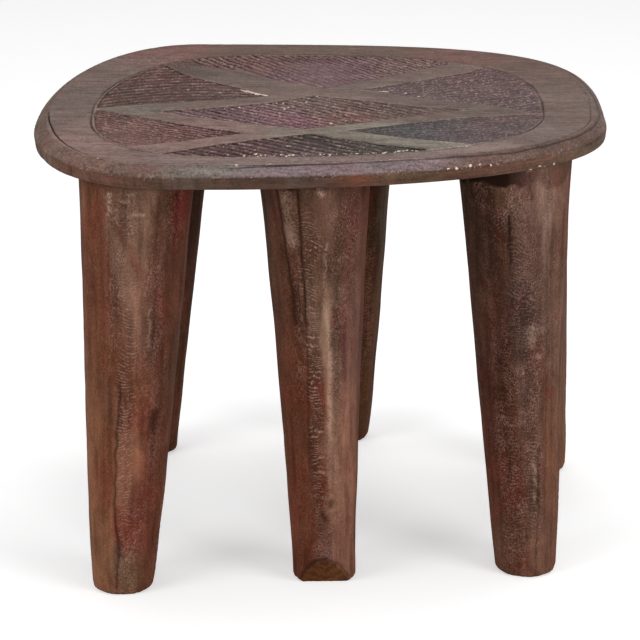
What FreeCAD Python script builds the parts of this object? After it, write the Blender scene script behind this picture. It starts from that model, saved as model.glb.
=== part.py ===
import FreeCAD, Part
import math
import os

# A low carved table or stool: a rounded hardwood slab on six tapered, knife-faceted legs.
# Each leg ends in a round tenon that sits in a blind mortise under the slab, where a
# hidden wedge spreads it. Millimetres, +Z up, origin on the floor under the middle.

# Seat slab
seat_half_width = 279.0
seat_half_depth = 245.0
table_height = 437.0
slab_thickness = 21.2
deepest_share = -0.47
widest_share = -0.18
corner_fullness_shares = (3.8, 2.1, 2.27, 2.22)
quarter_steps = 14

# Rim: how far in each step lies, and how high above the underside
underside_inset = 4.0
underside_round_height = 2.9
side_inset = 0.6
side_foot_height = 6.3
arris_height = 11.0
arris_inset = 0.6
shoulder_height = 17.2
shoulder_inset = 4.6
brow_height = 20.0
brow_inset = 9.0
border_inset = 13.0

# Scribed lines on the top
ring_inset = 15.5
ring_mouth = 3.4
ring_floor = 0.8
ring_depth = 1.8
oval_half_width = 220.8
oval_half_depth = 197.0
oval_shift_x = -2.7
oval_shift_y = -6.6
oval_deepest_share = -0.302
oval_widest_share = -0.119
oval_fullness_shares = (3.05, 2.08, 2.69, 2.32)
oval_mouth = 2.2
oval_floor = 0.6
oval_depth = 1.2
field_margin = 2.4

# Hatched fields: grooves cut with a V-shaped edge
hatch_pitch = 9.0
hatch_depth = 2.8
hatch_ridge_drop = 0.7

# Legs
neck_diameter = 112.0
foot_diameter = 60.0
sole_inset = 3.0
sole_height = 6.0
facet_count = 11
facet_swing_share = 0.16
facet_depth_share = 0.022
shin_share = 0.22
knee_share = 0.52
bevelled_foot = "front_middle"
toe_bevel_height = 28.0
toe_bevel_depth = 15.5

# Joints
tenon_diameter = 46.0
tenon_length = 13.0
mortise_clearance = 0.2
mortise_end_gap = 0.4
wedge_depth = 10.0
wedge_back_width = 3.2
wedge_tip_width = 0.8

# One overrun for all cutting tools
overrun = 5.0

# Each field: outline in shares of the scribed oval, turn of its grooves in degrees,
# and its pitch as a share of the hatch pitch. Outlines run past the oval, which trims them.
field_shares = {
    "back": (((0.02, 0.26), (0.30, 0.51), (0.58, 0.77), (0.66, 1.3), (-0.75, 1.3),
              (-0.66, 0.83), (-0.54, 0.70), (-0.38, 0.62), (-0.21, 0.42)), -52.0, 0.95),
    "left_back": (((-0.26, 0.10), (-0.38, 0.26), (-0.60, 0.47), (-0.67, 0.58), (-0.74, 0.72),
                   (-1.4, 1.1), (-1.4, -0.14), (-0.98, -0.14), (-0.72, -0.05),
                   (-0.61, -0.015), (-0.43, 0.046)), 8.0, 1.25),
    "left_front": (((-0.33, -0.60), (-0.52, -0.50), (-0.75, -0.34), (-0.99, -0.19),
                    (-1.4, -0.19), (-1.3, -1.3), (-0.84, -0.86), (-0.61, -0.77)), -28.0, 0.85),
    "centre": (((-0.72, -0.20), (-0.45, -0.12), (-0.23, -0.03), (-0.03, 0.12), (0.18, 0.02),
                (0.44, -0.10), (0.66, -0.145), (0.48, -0.24), (0.18, -0.41), (-0.08, -0.53),
                (-0.34, -0.41), (-0.63, -0.28)), -38.0, 0.95),
    "front": (((-0.04, -0.61), (-0.20, -0.68), (-0.45, -0.82), (-0.66, -0.97), (-0.7, -1.3),
               (0.6, -1.3), (0.45, -0.87), (0.27, -0.80), (0.05, -0.675)), -36.0, 1.05),
    "right_back": (((0.19, 0.24), (0.45, 0.42), (0.68, 0.60), (0.77, 0.72), (0.95, 1.1),
                    (1.4, 1.1), (1.4, -0.21), (0.94, -0.21), (0.78, -0.07), (0.45, 0.07)),
                   28.0, 1.0),
    "right_front": (((0.12, -0.55), (0.41, -0.40), (0.68, -0.29), (0.96, -0.23), (1.4, -0.23),
                     (1.4, -1.2), (0.8, -1.2), (0.69, -0.79), (0.48, -0.72), (0.20, -0.60)),
                    18.0, 0.8),
}

# Each leg: foot and neck places in shares of the seat's half sizes, the foot's and neck's
# sizes in shares of the standard ones, how full the taper is, and where its facets start
leg_shares = {
    "front_left": ((-0.686, -0.790), (-0.616, -0.668), 1.02, 1.005, 0.8, 0.2),
    "front_middle": ((0.019, -0.690), (-0.016, -0.652), 1.05, 0.957, 1.24, 1.1),
    "front_right": ((0.733, -0.592), (0.668, -0.444), 1.03, 0.996, 0.91, 2.3),
    "back_left": ((-0.677, 0.695), (-0.595, 0.571), 0.97, 1.016, 1.07, 3.1),
    "back_middle": ((0.077, 0.863), (0.070, 0.665), 0.91, 1.027, 0.79, 4.0),
    "back_right": ((0.837, 0.510), (0.697, 0.439), 0.92, 1.037, 0.9, 5.2),
}


def underside():
    return table_height - slab_thickness


def superellipse_reach(turn, fullness):
    """Distance from the middle to a unit superellipse in one direction."""
    spread = abs(math.cos(turn)) ** fullness + abs(math.sin(turn)) ** fullness
    return spread ** (-1.0 / fullness)


def quarter_curve(centre, semi_x, semi_y, quarter, fullness):
    """One quarter of a superellipse about its centre."""
    points = []
    for step in range(quarter_steps + 1):
        turn = (quarter + step / quarter_steps) * math.pi / 2
        reach = superellipse_reach(turn, fullness)
        out = FreeCAD.Vector(semi_x * reach * math.cos(turn), semi_y * reach * math.sin(turn), 0)
        points.append(centre + out)
    curve = Part.BSplineCurve()
    curve.interpolate(Points=points)
    return curve.toShape()


def rounded_outline(half_width, half_depth, split_x, split_y, fullness, height):
    """Four quarter superellipses that meet where the outline is widest and deepest."""
    centre = FreeCAD.Vector(split_x, split_y, height)
    right, left = half_width - split_x, half_width + split_x
    back, front = half_depth - split_y, half_depth + split_y
    semis = ((right, back), (left, back), (left, front), (right, front))
    return Part.Wire([quarter_curve(centre, semis[quarter][0], semis[quarter][1],
                                    quarter, fullness[quarter]) for quarter in range(4)])


def seat_outline(inset, height):
    return rounded_outline(
        seat_half_width - inset, seat_half_depth - inset,
        seat_half_width * deepest_share, seat_half_depth * widest_share,
        corner_fullness_shares, height)


def oval_outline(inset, height):
    """The scribed oval, a little nearer to the front and left than the seat's middle."""
    wire = rounded_outline(
        oval_half_width - inset, oval_half_depth - inset,
        oval_half_width * oval_deepest_share, oval_half_depth * oval_widest_share,
        oval_fullness_shares, height)
    wire.translate(FreeCAD.Vector(oval_shift_x, oval_shift_y, 0))
    return wire


def scribed_ring(outline, inset, mouth, floor, depth):
    """Cutter for a groove that follows an outline: sloping sides and a narrow floor."""
    low = table_height - depth
    high = table_height + depth
    spread = mouth - floor / 2
    wires = [outline(inset - floor / 2, low), outline(inset - spread, high),
             outline(inset + spread, high), outline(inset + floor / 2, low)]
    return Part.makeLoft(wires, True, True, True)


def slab_body():
    """The slab with its rounded underside edge, upright side and worn sloping shoulder."""
    bottom = underside()
    steps = (
        (underside_inset, 0.0),
        (side_inset, underside_round_height),
        (0.0, side_foot_height),
        (0.0, arris_height),
        (arris_inset, (arris_height + shoulder_height) / 2),
        (shoulder_inset, shoulder_height),
        (brow_inset, brow_height),
        (border_inset, slab_thickness),
    )
    wires = [seat_outline(inset, bottom + rise) for inset, rise in steps]
    return Part.makeLoft(wires, True, True)


def comb(middle_x, middle_y, reach, turn_degrees, pitch):
    """Row of V-shaped cutting teeth, wide and long enough for one field."""
    teeth = int(math.ceil(2 * reach / pitch))
    start = -teeth * pitch / 2
    valley = table_height - hatch_depth
    ridge = table_height - hatch_ridge_drop
    profile = [FreeCAD.Vector(-reach, start, ridge)]
    for tooth in range(teeth):
        near = start + tooth * pitch
        profile.append(FreeCAD.Vector(-reach, near + pitch / 2, valley))
        profile.append(FreeCAD.Vector(-reach, near + pitch, ridge))
    profile.append(FreeCAD.Vector(-reach, -start, table_height + overrun))
    profile.append(FreeCAD.Vector(-reach, start, table_height + overrun))
    profile.append(profile[0])
    row = Part.Face(Part.makePolygon(profile)).extrude(FreeCAD.Vector(2 * reach, 0, 0))
    row.rotate(FreeCAD.Vector(0, 0, 0), FreeCAD.Vector(0, 0, 1), turn_degrees)
    row.translate(FreeCAD.Vector(middle_x, middle_y, 0))
    return row


def field_cutter(outline_shares, turn_degrees, pitch_share):
    """Cutter for one hatched field, trimmed by the scribed oval."""
    floor = table_height - overrun
    corners = [FreeCAD.Vector(x * oval_half_width, y * oval_half_depth, floor)
               for x, y in outline_shares]
    corners.append(corners[0])
    lift = FreeCAD.Vector(0, 0, 2 * overrun)
    patch = Part.Face(Part.makePolygon(corners)).extrude(lift)
    oval = Part.Face(oval_outline(field_margin, floor)).extrude(lift)
    field = patch.common(oval)
    box = field.BoundBox
    reach = math.hypot(box.XLength, box.YLength) / 2
    teeth = comb(box.Center.x, box.Center.y, reach, turn_degrees, hatch_pitch * pitch_share)
    return field.common(teeth)


def leg_axis(name, share):
    """Centre of a leg's section at a share of the way from floor to slab."""
    foot, neck = leg_shares[name][0], leg_shares[name][1]
    x = foot[0] + (neck[0] - foot[0]) * share
    y = foot[1] + (neck[1] - foot[1]) * share
    return FreeCAD.Vector(x * seat_half_width, y * seat_half_depth, underside() * share)


def leg_radius(name, share):
    """Radius of a leg's section: fullness below one makes the taper bulge."""
    foot_size, neck_size, fullness = leg_shares[name][2:5]
    foot_radius = foot_diameter * foot_size / 2
    neck_radius = neck_diameter * neck_size / 2
    return foot_radius + (neck_radius - foot_radius) * share ** fullness


def leg_section(name, share, radius):
    """Uneven polygon whose corners are the ridges between two knife facets."""
    centre = leg_axis(name, share)
    start = leg_shares[name][5]
    corners = []
    for corner in range(facet_count):
        swing = facet_swing_share * math.sin(2.0 * corner + 3.0 * start)
        turn = 2.0 * math.pi * (corner + swing) / facet_count + start
        out = radius * (1.0 + facet_depth_share * math.sin(3.7 * corner + start))
        offset = FreeCAD.Vector(out * math.cos(turn), out * math.sin(turn), 0)
        corners.append(centre + offset)
    corners.append(corners[0])
    return Part.makePolygon(corners)


def toe_bevel(name):
    """Cutter for the sloping cut across the front of a worn foot."""
    centre = leg_axis(name, 0.0)
    radius = leg_radius(name, 0.0)
    front = centre.y - radius
    left = centre.x - 2 * radius
    outside = front - 2 * radius
    rim = [
        FreeCAD.Vector(left, front + 2 * toe_bevel_depth, -toe_bevel_height),
        FreeCAD.Vector(left, front - toe_bevel_depth, 2 * toe_bevel_height),
        FreeCAD.Vector(left, outside, 2 * toe_bevel_height),
        FreeCAD.Vector(left, outside, -toe_bevel_height),
    ]
    rim.append(rim[0])
    return Part.Face(Part.makePolygon(rim)).extrude(FreeCAD.Vector(4 * radius, 0, 0))


def wedge_blank(name):
    """Tapered wedge across the tenon, long enough to be trimmed round."""
    neck = leg_axis(name, 1.0)
    reach = tenon_diameter / 2 + overrun
    top = underside() + tenon_length + mortise_end_gap
    tip = underside() + tenon_length - wedge_depth
    rim = [
        FreeCAD.Vector(neck.x - wedge_back_width / 2, neck.y - reach, top),
        FreeCAD.Vector(neck.x + wedge_back_width / 2, neck.y - reach, top),
        FreeCAD.Vector(neck.x + wedge_tip_width / 2, neck.y - reach, tip),
        FreeCAD.Vector(neck.x - wedge_tip_width / 2, neck.y - reach, tip),
    ]
    rim.append(rim[0])
    return Part.Face(Part.makePolygon(rim)).extrude(FreeCAD.Vector(0, 2 * reach, 0))


def wedge(name):
    """The hidden wedge, its ends trimmed flush with the round tenon."""
    neck = leg_axis(name, 1.0)
    sleeve = Part.makeCylinder(tenon_diameter / 2, tenon_length + mortise_end_gap, neck)
    return wedge_blank(name).common(sleeve)


def leg(name):
    """Faceted tapered leg with a rounded sole and a split round tenon on top."""
    sole_share = sole_height / underside()
    shares = (sole_share, shin_share, knee_share, 1.0)
    sections = [leg_section(name, 0.0, leg_radius(name, 0.0) - sole_inset)]
    sections += [leg_section(name, share, leg_radius(name, share)) for share in shares]
    body = Part.makeLoft(sections, True, True)
    if name == bevelled_foot:
        body = body.cut(toe_bevel(name))
    tenon = Part.makeCylinder(tenon_diameter / 2, tenon_length, leg_axis(name, 1.0))
    return body.fuse(tenon).cut(wedge_blank(name))


def mortise(name):
    """Blind round hole under the slab, a little wider and deeper than the tenon."""
    start = leg_axis(name, 1.0) - FreeCAD.Vector(0, 0, overrun)
    depth = overrun + tenon_length + mortise_end_gap
    return Part.makeCylinder(tenon_diameter / 2 + mortise_clearance, depth, start)


def seat_slab():
    """The seat with its scribed lines, hatched fields and mortises."""
    cutters = [
        scribed_ring(seat_outline, ring_inset, ring_mouth, ring_floor, ring_depth),
        scribed_ring(oval_outline, 0.0, oval_mouth, oval_floor, oval_depth),
    ]
    cutters += [field_cutter(*field) for field in field_shares.values()]
    cutters += [mortise(name) for name in leg_shares]
    return slab_body().cut(cutters)


def save(name, shape):
    solids = shape.Solids
    print(name, "solids", len(solids), "valid", shape.isValid(), "faces", len(shape.Faces),
          "litres %.3f" % (shape.Volume / 1.0e6))
    solids[0].exportStep("parts/%s.step" % name)


os.makedirs("parts", exist_ok=True)
save("seat_slab", seat_slab())
for leg_name in leg_shares:
    save("leg_" + leg_name, leg(leg_name))
    save("wedge_" + leg_name, wedge(leg_name))
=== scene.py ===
# %% [markdown]
# # A carved table on six legs
# A rounded hardwood slab stands on six tapered legs. A ring and an oval are scribed on its
# top, and inside the oval smooth bands cross between seven fields of hand-cut grooves.
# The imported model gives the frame: a slab, six legs and six hidden wedges. This lesson
# carves the slab and the legs anew with all their tool marks, then dyes, waxes and wears them.

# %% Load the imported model
import math

import bmesh
import bpy
import numpy as np
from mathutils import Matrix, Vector, geometry


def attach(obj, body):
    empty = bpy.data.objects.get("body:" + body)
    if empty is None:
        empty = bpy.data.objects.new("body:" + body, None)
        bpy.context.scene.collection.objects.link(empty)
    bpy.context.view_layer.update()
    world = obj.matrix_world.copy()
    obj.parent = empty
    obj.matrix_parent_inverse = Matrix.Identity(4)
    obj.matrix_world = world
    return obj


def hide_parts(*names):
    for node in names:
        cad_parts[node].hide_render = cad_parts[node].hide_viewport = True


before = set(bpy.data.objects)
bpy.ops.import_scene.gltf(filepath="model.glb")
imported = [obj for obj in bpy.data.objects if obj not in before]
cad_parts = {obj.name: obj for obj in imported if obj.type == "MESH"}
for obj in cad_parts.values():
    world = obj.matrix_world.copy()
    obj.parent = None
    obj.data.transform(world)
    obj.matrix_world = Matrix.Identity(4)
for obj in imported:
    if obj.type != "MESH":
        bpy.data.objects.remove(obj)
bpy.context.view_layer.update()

print("nodes", sorted(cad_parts))

# %% [markdown]
# The plan is drawn in millimetres, as a carver marks out a board, and each mesh is turned
# into metres as its last step. The outline of the seat isn't an ellipse: it is deepest left of
# the middle and fullest at its back right. So it is four quarters of a superellipse, each with
# its own half width, half depth and fullness, that meet where the outline is widest and deepest.

# %% Plan sizes and the outline's four quarters
mm = 0.001
table_height, slab_thickness = 437.0, 21.2
underside = table_height - slab_thickness
# half width, half depth, where it is deepest and widest, fullness of the four quarters, and
# how far it is shifted from the middle of the seat
seat_shape = (279.0, 245.0, -0.47, -0.18, (3.8, 2.1, 2.27, 2.22), (0.0, 0.0))
oval_shape = (220.8, 197.0, -0.302, -0.119, (3.05, 2.08, 2.69, 2.32), (-2.7, -6.6))


def split_of(shape):
    """Where the four quarters of an outline meet."""
    return shape[0] * shape[2] + shape[5][0], shape[1] * shape[3] + shape[5][1]


def quarter_sizes(shape, across, along, inset):
    """Half width, half depth and fullness of the quarter that each offset lies in."""
    wide = shape[0] * (1 - np.where(across > 0, shape[2], -shape[2])) - inset
    deep = shape[1] * (1 - np.where(along > 0, shape[3], -shape[3])) - inset
    back = np.where(across > 0, shape[4][0], shape[4][1])
    front = np.where(across > 0, shape[4][3], shape[4][2])
    return wide, deep, np.where(along > 0, back, front)


def outline(shape, inset, turns):
    """Points of an outline drawn in by some inset, one for each turn."""
    across, along = np.cos(turns), np.sin(turns)
    wide, deep, full = quarter_sizes(shape, across, along, inset)
    reach = (np.abs(across) ** full + np.abs(along) ** full) ** (-1 / full)
    split_x, split_y = split_of(shape)
    return np.stack([split_x + wide * reach * across, split_y + deep * reach * along], 1)


def depth_inside(shape, inset, x, y):
    """How far inside an outline each point lies, in millimetres, and its measure (1 on it)."""
    split_x, split_y = split_of(shape)
    across, along = x - split_x, y - split_y
    wide, deep, full = quarter_sizes(shape, across, along, inset)
    a, b = np.abs(across) / wide, np.abs(along) / deep
    measure = np.maximum((a ** full + b ** full) ** (1 / full), 1e-6)
    slope = np.hypot((a / measure) ** (full - 1) / wide, (b / measure) ** (full - 1) / deep)
    return (1 - measure) / slope, measure


print("seat outline, first point", outline(seat_shape, 0.0, np.array([0.0]))[0])

# %% [markdown]
# Nothing here was cut by a machine. Every line wanders a little, and every flat has been
# scraped by hand. A few long sine waves in fixed directions, added up, give a smooth wander
# that is the same on every run.

# %% Hand-made unevenness, and soft steps
def waver(x, y, size, seed):
    """A smooth wander between about -1 and 1, with hills about as wide as size."""
    draw = np.random.default_rng(seed)
    total = 0.0
    for turn, phase, stretch in zip(draw.uniform(0, 6.28, 7), draw.uniform(0, 6.28, 7),
                                    draw.uniform(0.6, 1.8, 7)):
        total = total + np.sin((x * np.cos(turn) + y * np.sin(turn)) * 6.28 * stretch / size + phase)
    return total / 3.5


def soft_step(value):
    value = np.clip(value, 0.0, 1.0)
    return value * value * (3 - 2 * value)


def bump_at(distance, reach):
    """One on a line, fading to nothing a few reaches away."""
    return np.exp(-(distance / reach) ** 2)


# %% [markdown]
# The slab's rim is a moulding that runs round the outline: a rounded lower edge, an upright
# side, a clear arris and a broad worn shoulder. It could be a swept profile, but the outline
# changes its shape as it is drawn in. So a circle is laid on the outline, and its edge is
# extruded up and pulled in step by step, as a carver works round a blank.

# %% Rim of the slab
rim_points = 620
rim_turns = np.arange(rim_points) * 2 * math.pi / rim_points
# how far in each step lies, and how high above the underside
rim_steps = (
    (4.0, 0.0), (2.4, 0.4), (1.4, 1.3), (0.8, 2.9), (0.4, 5.2), (0.1, 8.0), (0.0, 10.0), (0.2, 11.4),
    (0.7, 12.5), (1.5, 13.5), (2.6, 14.8), (4.0, 16.3), (5.6, 17.8), (6.5, 18.5), (7.4, 19.1), (8.3, 19.6),
    (9.2, 20.1), (10.1, 20.5), (11.0, 20.8), (12.0, 21.05), (13.0, 21.2))


def only(*pieces):
    """Select these objects and nothing else, with the first one active."""
    bpy.ops.object.select_all(action="DESELECT")
    for piece in pieces:
        piece.select_set(True)
    bpy.context.view_layer.objects.active = pieces[0]


def pull_in(mesh, inset_now, inset_next):
    """Move the selected loop from one inset of the seat's outline to another."""
    for vertex in bmesh.from_edit_mesh(mesh).verts:
        if vertex.select:
            split = np.array(split_of(seat_shape))
            offset = np.array(vertex.co[:2]) / mm - split
            now = quarter_sizes(seat_shape, offset[0], offset[1], inset_now)
            after = quarter_sizes(seat_shape, offset[0], offset[1], inset_next)
            offset *= (after[0] / now[0], after[1] / now[1])
            vertex.co.x, vertex.co.y = (split + offset) * mm
    bmesh.update_edit_mesh(mesh)


bpy.ops.object.select_all(action="DESELECT")
bpy.ops.mesh.primitive_circle_add(vertices=rim_points, radius=1.0, fill_type="NOTHING")
seat = bpy.context.object
seat.name = "carved_seat"
start = outline(seat_shape, rim_steps[0][0], rim_turns)
for vertex, place in zip(seat.data.vertices, start):
    vertex.co = (place[0] * mm, place[1] * mm, underside * mm)
bpy.ops.object.mode_set(mode="EDIT")
bpy.ops.mesh.select_all(action="SELECT")
for (inset_now, height_now), (inset_next, height_next) in zip(rim_steps, rim_steps[1:]):
    rise = (0.0, 0.0, (height_next - height_now) * mm)
    bpy.ops.mesh.extrude_edges_move(TRANSFORM_OT_translate={"value": rise})
    pull_in(seat.data, inset_now, inset_next)
bpy.ops.object.mode_set(mode="OBJECT")
print("rim", len(seat.data.vertices), "points,", len(seat.data.polygons), "faces")

# %% [markdown]
# Each leg is let into the slab with a round tenon in a blind mortise, so nothing shows on top.
# Six circles are added on the underside, the flat between them and the rim is filled, and
# each circle is extruded up into the wood and closed. Legs and mortises share one list of places.

# %% Where the legs stand, and their mortises
tenon_radius, tenon_length, mortise_radius, mortise_depth = 23.0, 13.0, 23.2, 13.4
# foot and neck places in shares of the seat's half sizes, sizes in shares of the standard
# ones, how full the taper is, and where its facets start
leg_plan = {
    "front_left": ((-0.686, -0.790), (-0.616, -0.668), 1.02, 1.005, 0.8, 0.2),
    "front_middle": ((0.019, -0.690), (-0.016, -0.652), 1.05, 0.957, 1.24, 1.1),
    "front_right": ((0.733, -0.592), (0.668, -0.444), 1.03, 0.996, 0.91, 2.3),
    "back_left": ((-0.677, 0.695), (-0.595, 0.571), 0.97, 1.016, 1.07, 3.1),
    "back_middle": ((0.077, 0.863), (0.070, 0.665), 0.91, 1.027, 0.79, 4.0),
    "back_right": ((0.837, 0.510), (0.697, 0.439), 0.92, 1.037, 0.9, 5.2),
}


def axis_at(name, share):
    """Middle of a leg at a share of the way from floor to slab."""
    foot, neck = np.array(leg_plan[name][0]), np.array(leg_plan[name][1])
    places = foot + np.multiply.outer(share, neck - foot)
    return places * np.array([seat_shape[0], seat_shape[1]])


def select_edges(piece, wanted):
    """In edit mode, select the edges that the test wants, and nothing else."""
    bpy.ops.mesh.select_mode(type="EDGE")
    bpy.ops.mesh.select_all(action="DESELECT")
    shape = bmesh.from_edit_mesh(piece.data)
    for edge in shape.edges:
        edge.select_set(wanted(edge))
    shape.select_flush_mode()
    bmesh.update_edit_mesh(piece.data)


def open_at(height):
    """Test for open edges at one height."""
    return lambda edge: edge.is_boundary and all(
        abs(end.co.z - height * mm) < 0.1 * mm for end in edge.verts)


only(seat)
bpy.ops.object.mode_set(mode="EDIT")
for name in leg_plan:
    neck = axis_at(name, 1.0) * mm
    bpy.ops.mesh.primitive_circle_add(vertices=56, radius=mortise_radius * mm,
                                      location=(neck[0], neck[1], underside * mm))
select_edges(seat, lambda edge: all(abs(end.co.z - underside * mm) < 0.1 * mm for end in edge.verts))
bpy.ops.mesh.fill(use_beauty=True)
select_edges(seat, open_at(underside))
bpy.ops.mesh.extrude_edges_move(
    TRANSFORM_OT_translate={"value": (0.0, 0.0, mortise_depth * mm)})
bpy.ops.mesh.fill_holes(sides=0)
bpy.ops.object.mode_set(mode="OBJECT")
print("slab with mortises", len(seat.data.polygons), "faces")

# %% [markdown]
# The face of the seat is marked out before it is cut. Each field has an outline, a direction
# for its grooves and a pitch. Outlines run past the oval, so the part outside is pulled back
# onto the oval, as when a carver stops the gouge at the scribed line.

# %% Mark out the seven fields
# outline in shares of the oval, turn of the grooves, their pitch, how deep they are cut, and
# how much the field is dusted with pale specks
field_margin, hatch_pitch = 2.4, 9.0
field_plan = {
    "back": (((0.02, 0.26), (0.30, 0.51), (0.58, 0.77), (0.66, 1.3), (-0.75, 1.3),
              (-0.66, 0.83), (-0.54, 0.70), (-0.38, 0.62), (-0.21, 0.42)), -52.0, 0.86, 1.0, 0.3),
    "left_back": (((-0.26, 0.10), (-0.38, 0.26), (-0.60, 0.47), (-0.67, 0.58), (-0.74, 0.72),
                   (-1.4, 1.1), (-1.4, -0.14), (-0.98, -0.14), (-0.72, -0.05),
                   (-0.61, -0.015), (-0.43, 0.046)), 8.0, 1.25, 0.8, 0.25),
    "left_front": (((-0.33, -0.60), (-0.52, -0.50), (-0.75, -0.34), (-0.99, -0.19),
                    (-1.4, -0.19), (-1.3, -1.3), (-0.84, -0.86), (-0.61, -0.77)),
                   -28.0, 0.75, 0.85, 0.5),
    "centre": (((-0.72, -0.20), (-0.45, -0.12), (-0.23, -0.03), (-0.03, 0.12), (0.18, 0.02),
                (0.44, -0.10), (0.66, -0.145), (0.48, -0.24), (0.18, -0.41), (-0.08, -0.53),
                (-0.34, -0.41), (-0.63, -0.28)), -38.0, 0.95, 0.95, 0.4),
    "front": (((-0.04, -0.61), (-0.20, -0.68), (-0.45, -0.82), (-0.66, -0.97), (-0.7, -1.3),
               (0.6, -1.3), (0.45, -0.87), (0.27, -0.80), (0.05, -0.675)),
              -36.0, 1.07, 0.9, 0.3),
    "right_back": (((0.19, 0.24), (0.45, 0.42), (0.68, 0.60), (0.77, 0.72), (0.95, 1.1),
                    (1.4, 1.1), (1.4, -0.21), (0.94, -0.21), (0.78, -0.07), (0.45, 0.07)),
                   28.0, 1.0, 0.5, 0.9),
    "right_front": (((0.12, -0.55), (0.41, -0.40), (0.68, -0.29), (0.96, -0.23), (1.4, -0.23),
                     (1.4, -1.2), (0.8, -1.2), (0.69, -0.79), (0.48, -0.72), (0.20, -0.60)),
                    20.0, 0.8, 0.36, 0.6),
}
# how a field's rows fan out, draw together and bow
field_bends = {"back": (-0.0004, 0.0008, 0.0), "left_back": (0.0, 0.0, 0.0025)}


def paced(points, step):
    """The same closed line with a point at every step along it."""
    loop = np.vstack([points, points[:1]])
    run = np.concatenate([[0.0], np.cumsum(np.hypot(*np.diff(loop, axis=0).T))])
    marks = np.arange(0.0, run[-1], run[-1] / round(run[-1] / step))
    return np.stack([np.interp(marks, run, loop[:, axis]) for axis in (0, 1)], 1)


def field_edge(corners, seed):
    """A field's outline: stopped at the oval, and drawn by hand."""
    line = paced(np.array(corners) * (oval_shape[0], oval_shape[1]), 1.5)
    measure = depth_inside(oval_shape, field_margin, *line.T)[1]
    split = np.array(split_of(oval_shape))
    line = split + (line - split) / np.maximum(measure, 1.0)[:, None]
    sway = np.stack([waver(*line.T, 34.0, seed), waver(*line.T, 29.0, seed + 50)], 1)
    return paced(line + 0.55 * sway, 1.9)


def signed_distance(edge, x, y):
    """Distance from each point to a closed line, positive inside it."""
    after = np.roll(edge, -1, axis=0)
    run = after - edge
    off_x, off_y = x[:, None] - edge[:, 0], y[:, None] - edge[:, 1]
    share = np.clip((off_x * run[:, 0] + off_y * run[:, 1]) / (run ** 2).sum(1), 0.0, 1.0)
    away = np.hypot(off_x - share * run[:, 0], off_y - share * run[:, 1]).min(1)
    crosses = (edge[:, 1] > y[:, None]) != (after[:, 1] > y[:, None])
    rise = np.where(run[:, 1] == 0, 1e-9, run[:, 1])
    right = off_x < off_y * run[:, 0] / rise
    inside = (crosses & right).sum(1) % 2 == 1
    return np.where(inside, away, -away)


fields = {}
for number, (name, row) in enumerate(field_plan.items()):
    corners, turn, pitch_share, bite, frost = row
    edge = field_edge(corners, number)
    low, high = edge.min(0), edge.max(0)
    pitch = hatch_pitch * pitch_share
    reach = math.hypot(*(high - low)) / 2
    fields[name] = {
        "edge": edge, "low": low, "high": high, "middle": (low + high) / 2, "reach": reach,
        "pitch": pitch, "start": -math.ceil(2 * reach / pitch) * pitch / 2, "seed": number,
        "bite": bite, "frost": frost, "bend": field_bends.get(name, (0.0, 0.0, 0.0)),
        "along": np.array([math.cos(math.radians(turn)), math.sin(math.radians(turn))]),
    }
    print("field", name, "with", int(2 * reach / pitch), "grooves, edge of", len(edge), "points")


# %% [markdown]
# A groove is cut in several strokes, so it sways, and the rows fan out, draw together or bow as
# the carver's hand turns round the elbow. Which groove a point lies in, and how far across it,
# comes from one measure: its distance across the grooves, bent this way, in pitches. A whole
# number is a ridge and a half is the bottom of a groove.

# %% Rows of grooves
def placed_in(field, x, y):
    """Distance across and along a field's rows, from its middle."""
    off_x, off_y = x - field["middle"][0], y - field["middle"][1]
    return (off_y * field["along"][0] - off_x * field["along"][1],
            off_x * field["along"][0] + off_y * field["along"][1])


def sway_of(field, x, y):
    """How far the rows are bent aside, in millimetres."""
    across, along = placed_in(field, x, y)
    fan, narrow, bow = field["bend"]
    bent = fan * across * along + narrow * across ** 2 + bow * along ** 2
    seed = field["seed"]
    return bent + 1.0 * waver(x, y, 62.0, seed + 7) + 0.5 * waver(x, y, 19.0, seed + 11)


def groove_count(field, x, y):
    """Distance across the grooves in pitches, and distance along them."""
    across, along = placed_in(field, x, y)
    return (across + sway_of(field, x, y) - field["start"]) / field["pitch"], along


def groove_points(field, pace, shares=(0.0, 0.13, 0.3, 0.42, 0.5, 0.58, 0.7, 0.87)):
    """Points along every ridge, flank and bottom of a field's grooves."""
    spare, settling_rounds = 5, 7
    rows = np.arange(-spare, round(-2 * field["start"] / field["pitch"]) + spare)
    across = (np.add.outer(rows, np.array(shares)).ravel() * field["pitch"]) + field["start"]
    along = np.arange(-field["reach"], field["reach"], pace)
    across, along = (grid.ravel() for grid in np.meshgrid(across, along))
    side = np.array([-field["along"][1], field["along"][0]])
    laid = field["middle"] + np.outer(along, field["along"]) + np.outer(across, side)
    points = laid
    for _ in range(settling_rounds):
        points = laid - np.outer(sway_of(field, *points.T), side)
    keep = ((points > field["low"]) & (points < field["high"])).all(1)
    points = points[keep]
    return points[signed_distance(field["edge"], *points.T) > 1.7]


# %% [markdown]
# Now the layout becomes a mesh. A knife tool would draw it by hand, but it needs a window,
# and hundreds of bisects would leave slivers where the grooves meet the curved edges. So the
# marked lines and rows are joined by Blender's own triangulation, which keeps each
# field's edge and gives short, even triangles between the rows.

# %% Lay out the face of the seat
border_inset = rim_steps[-1][0]
grid_pace, groove_pace, line_steps = 3.7, 2.3, 520
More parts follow.
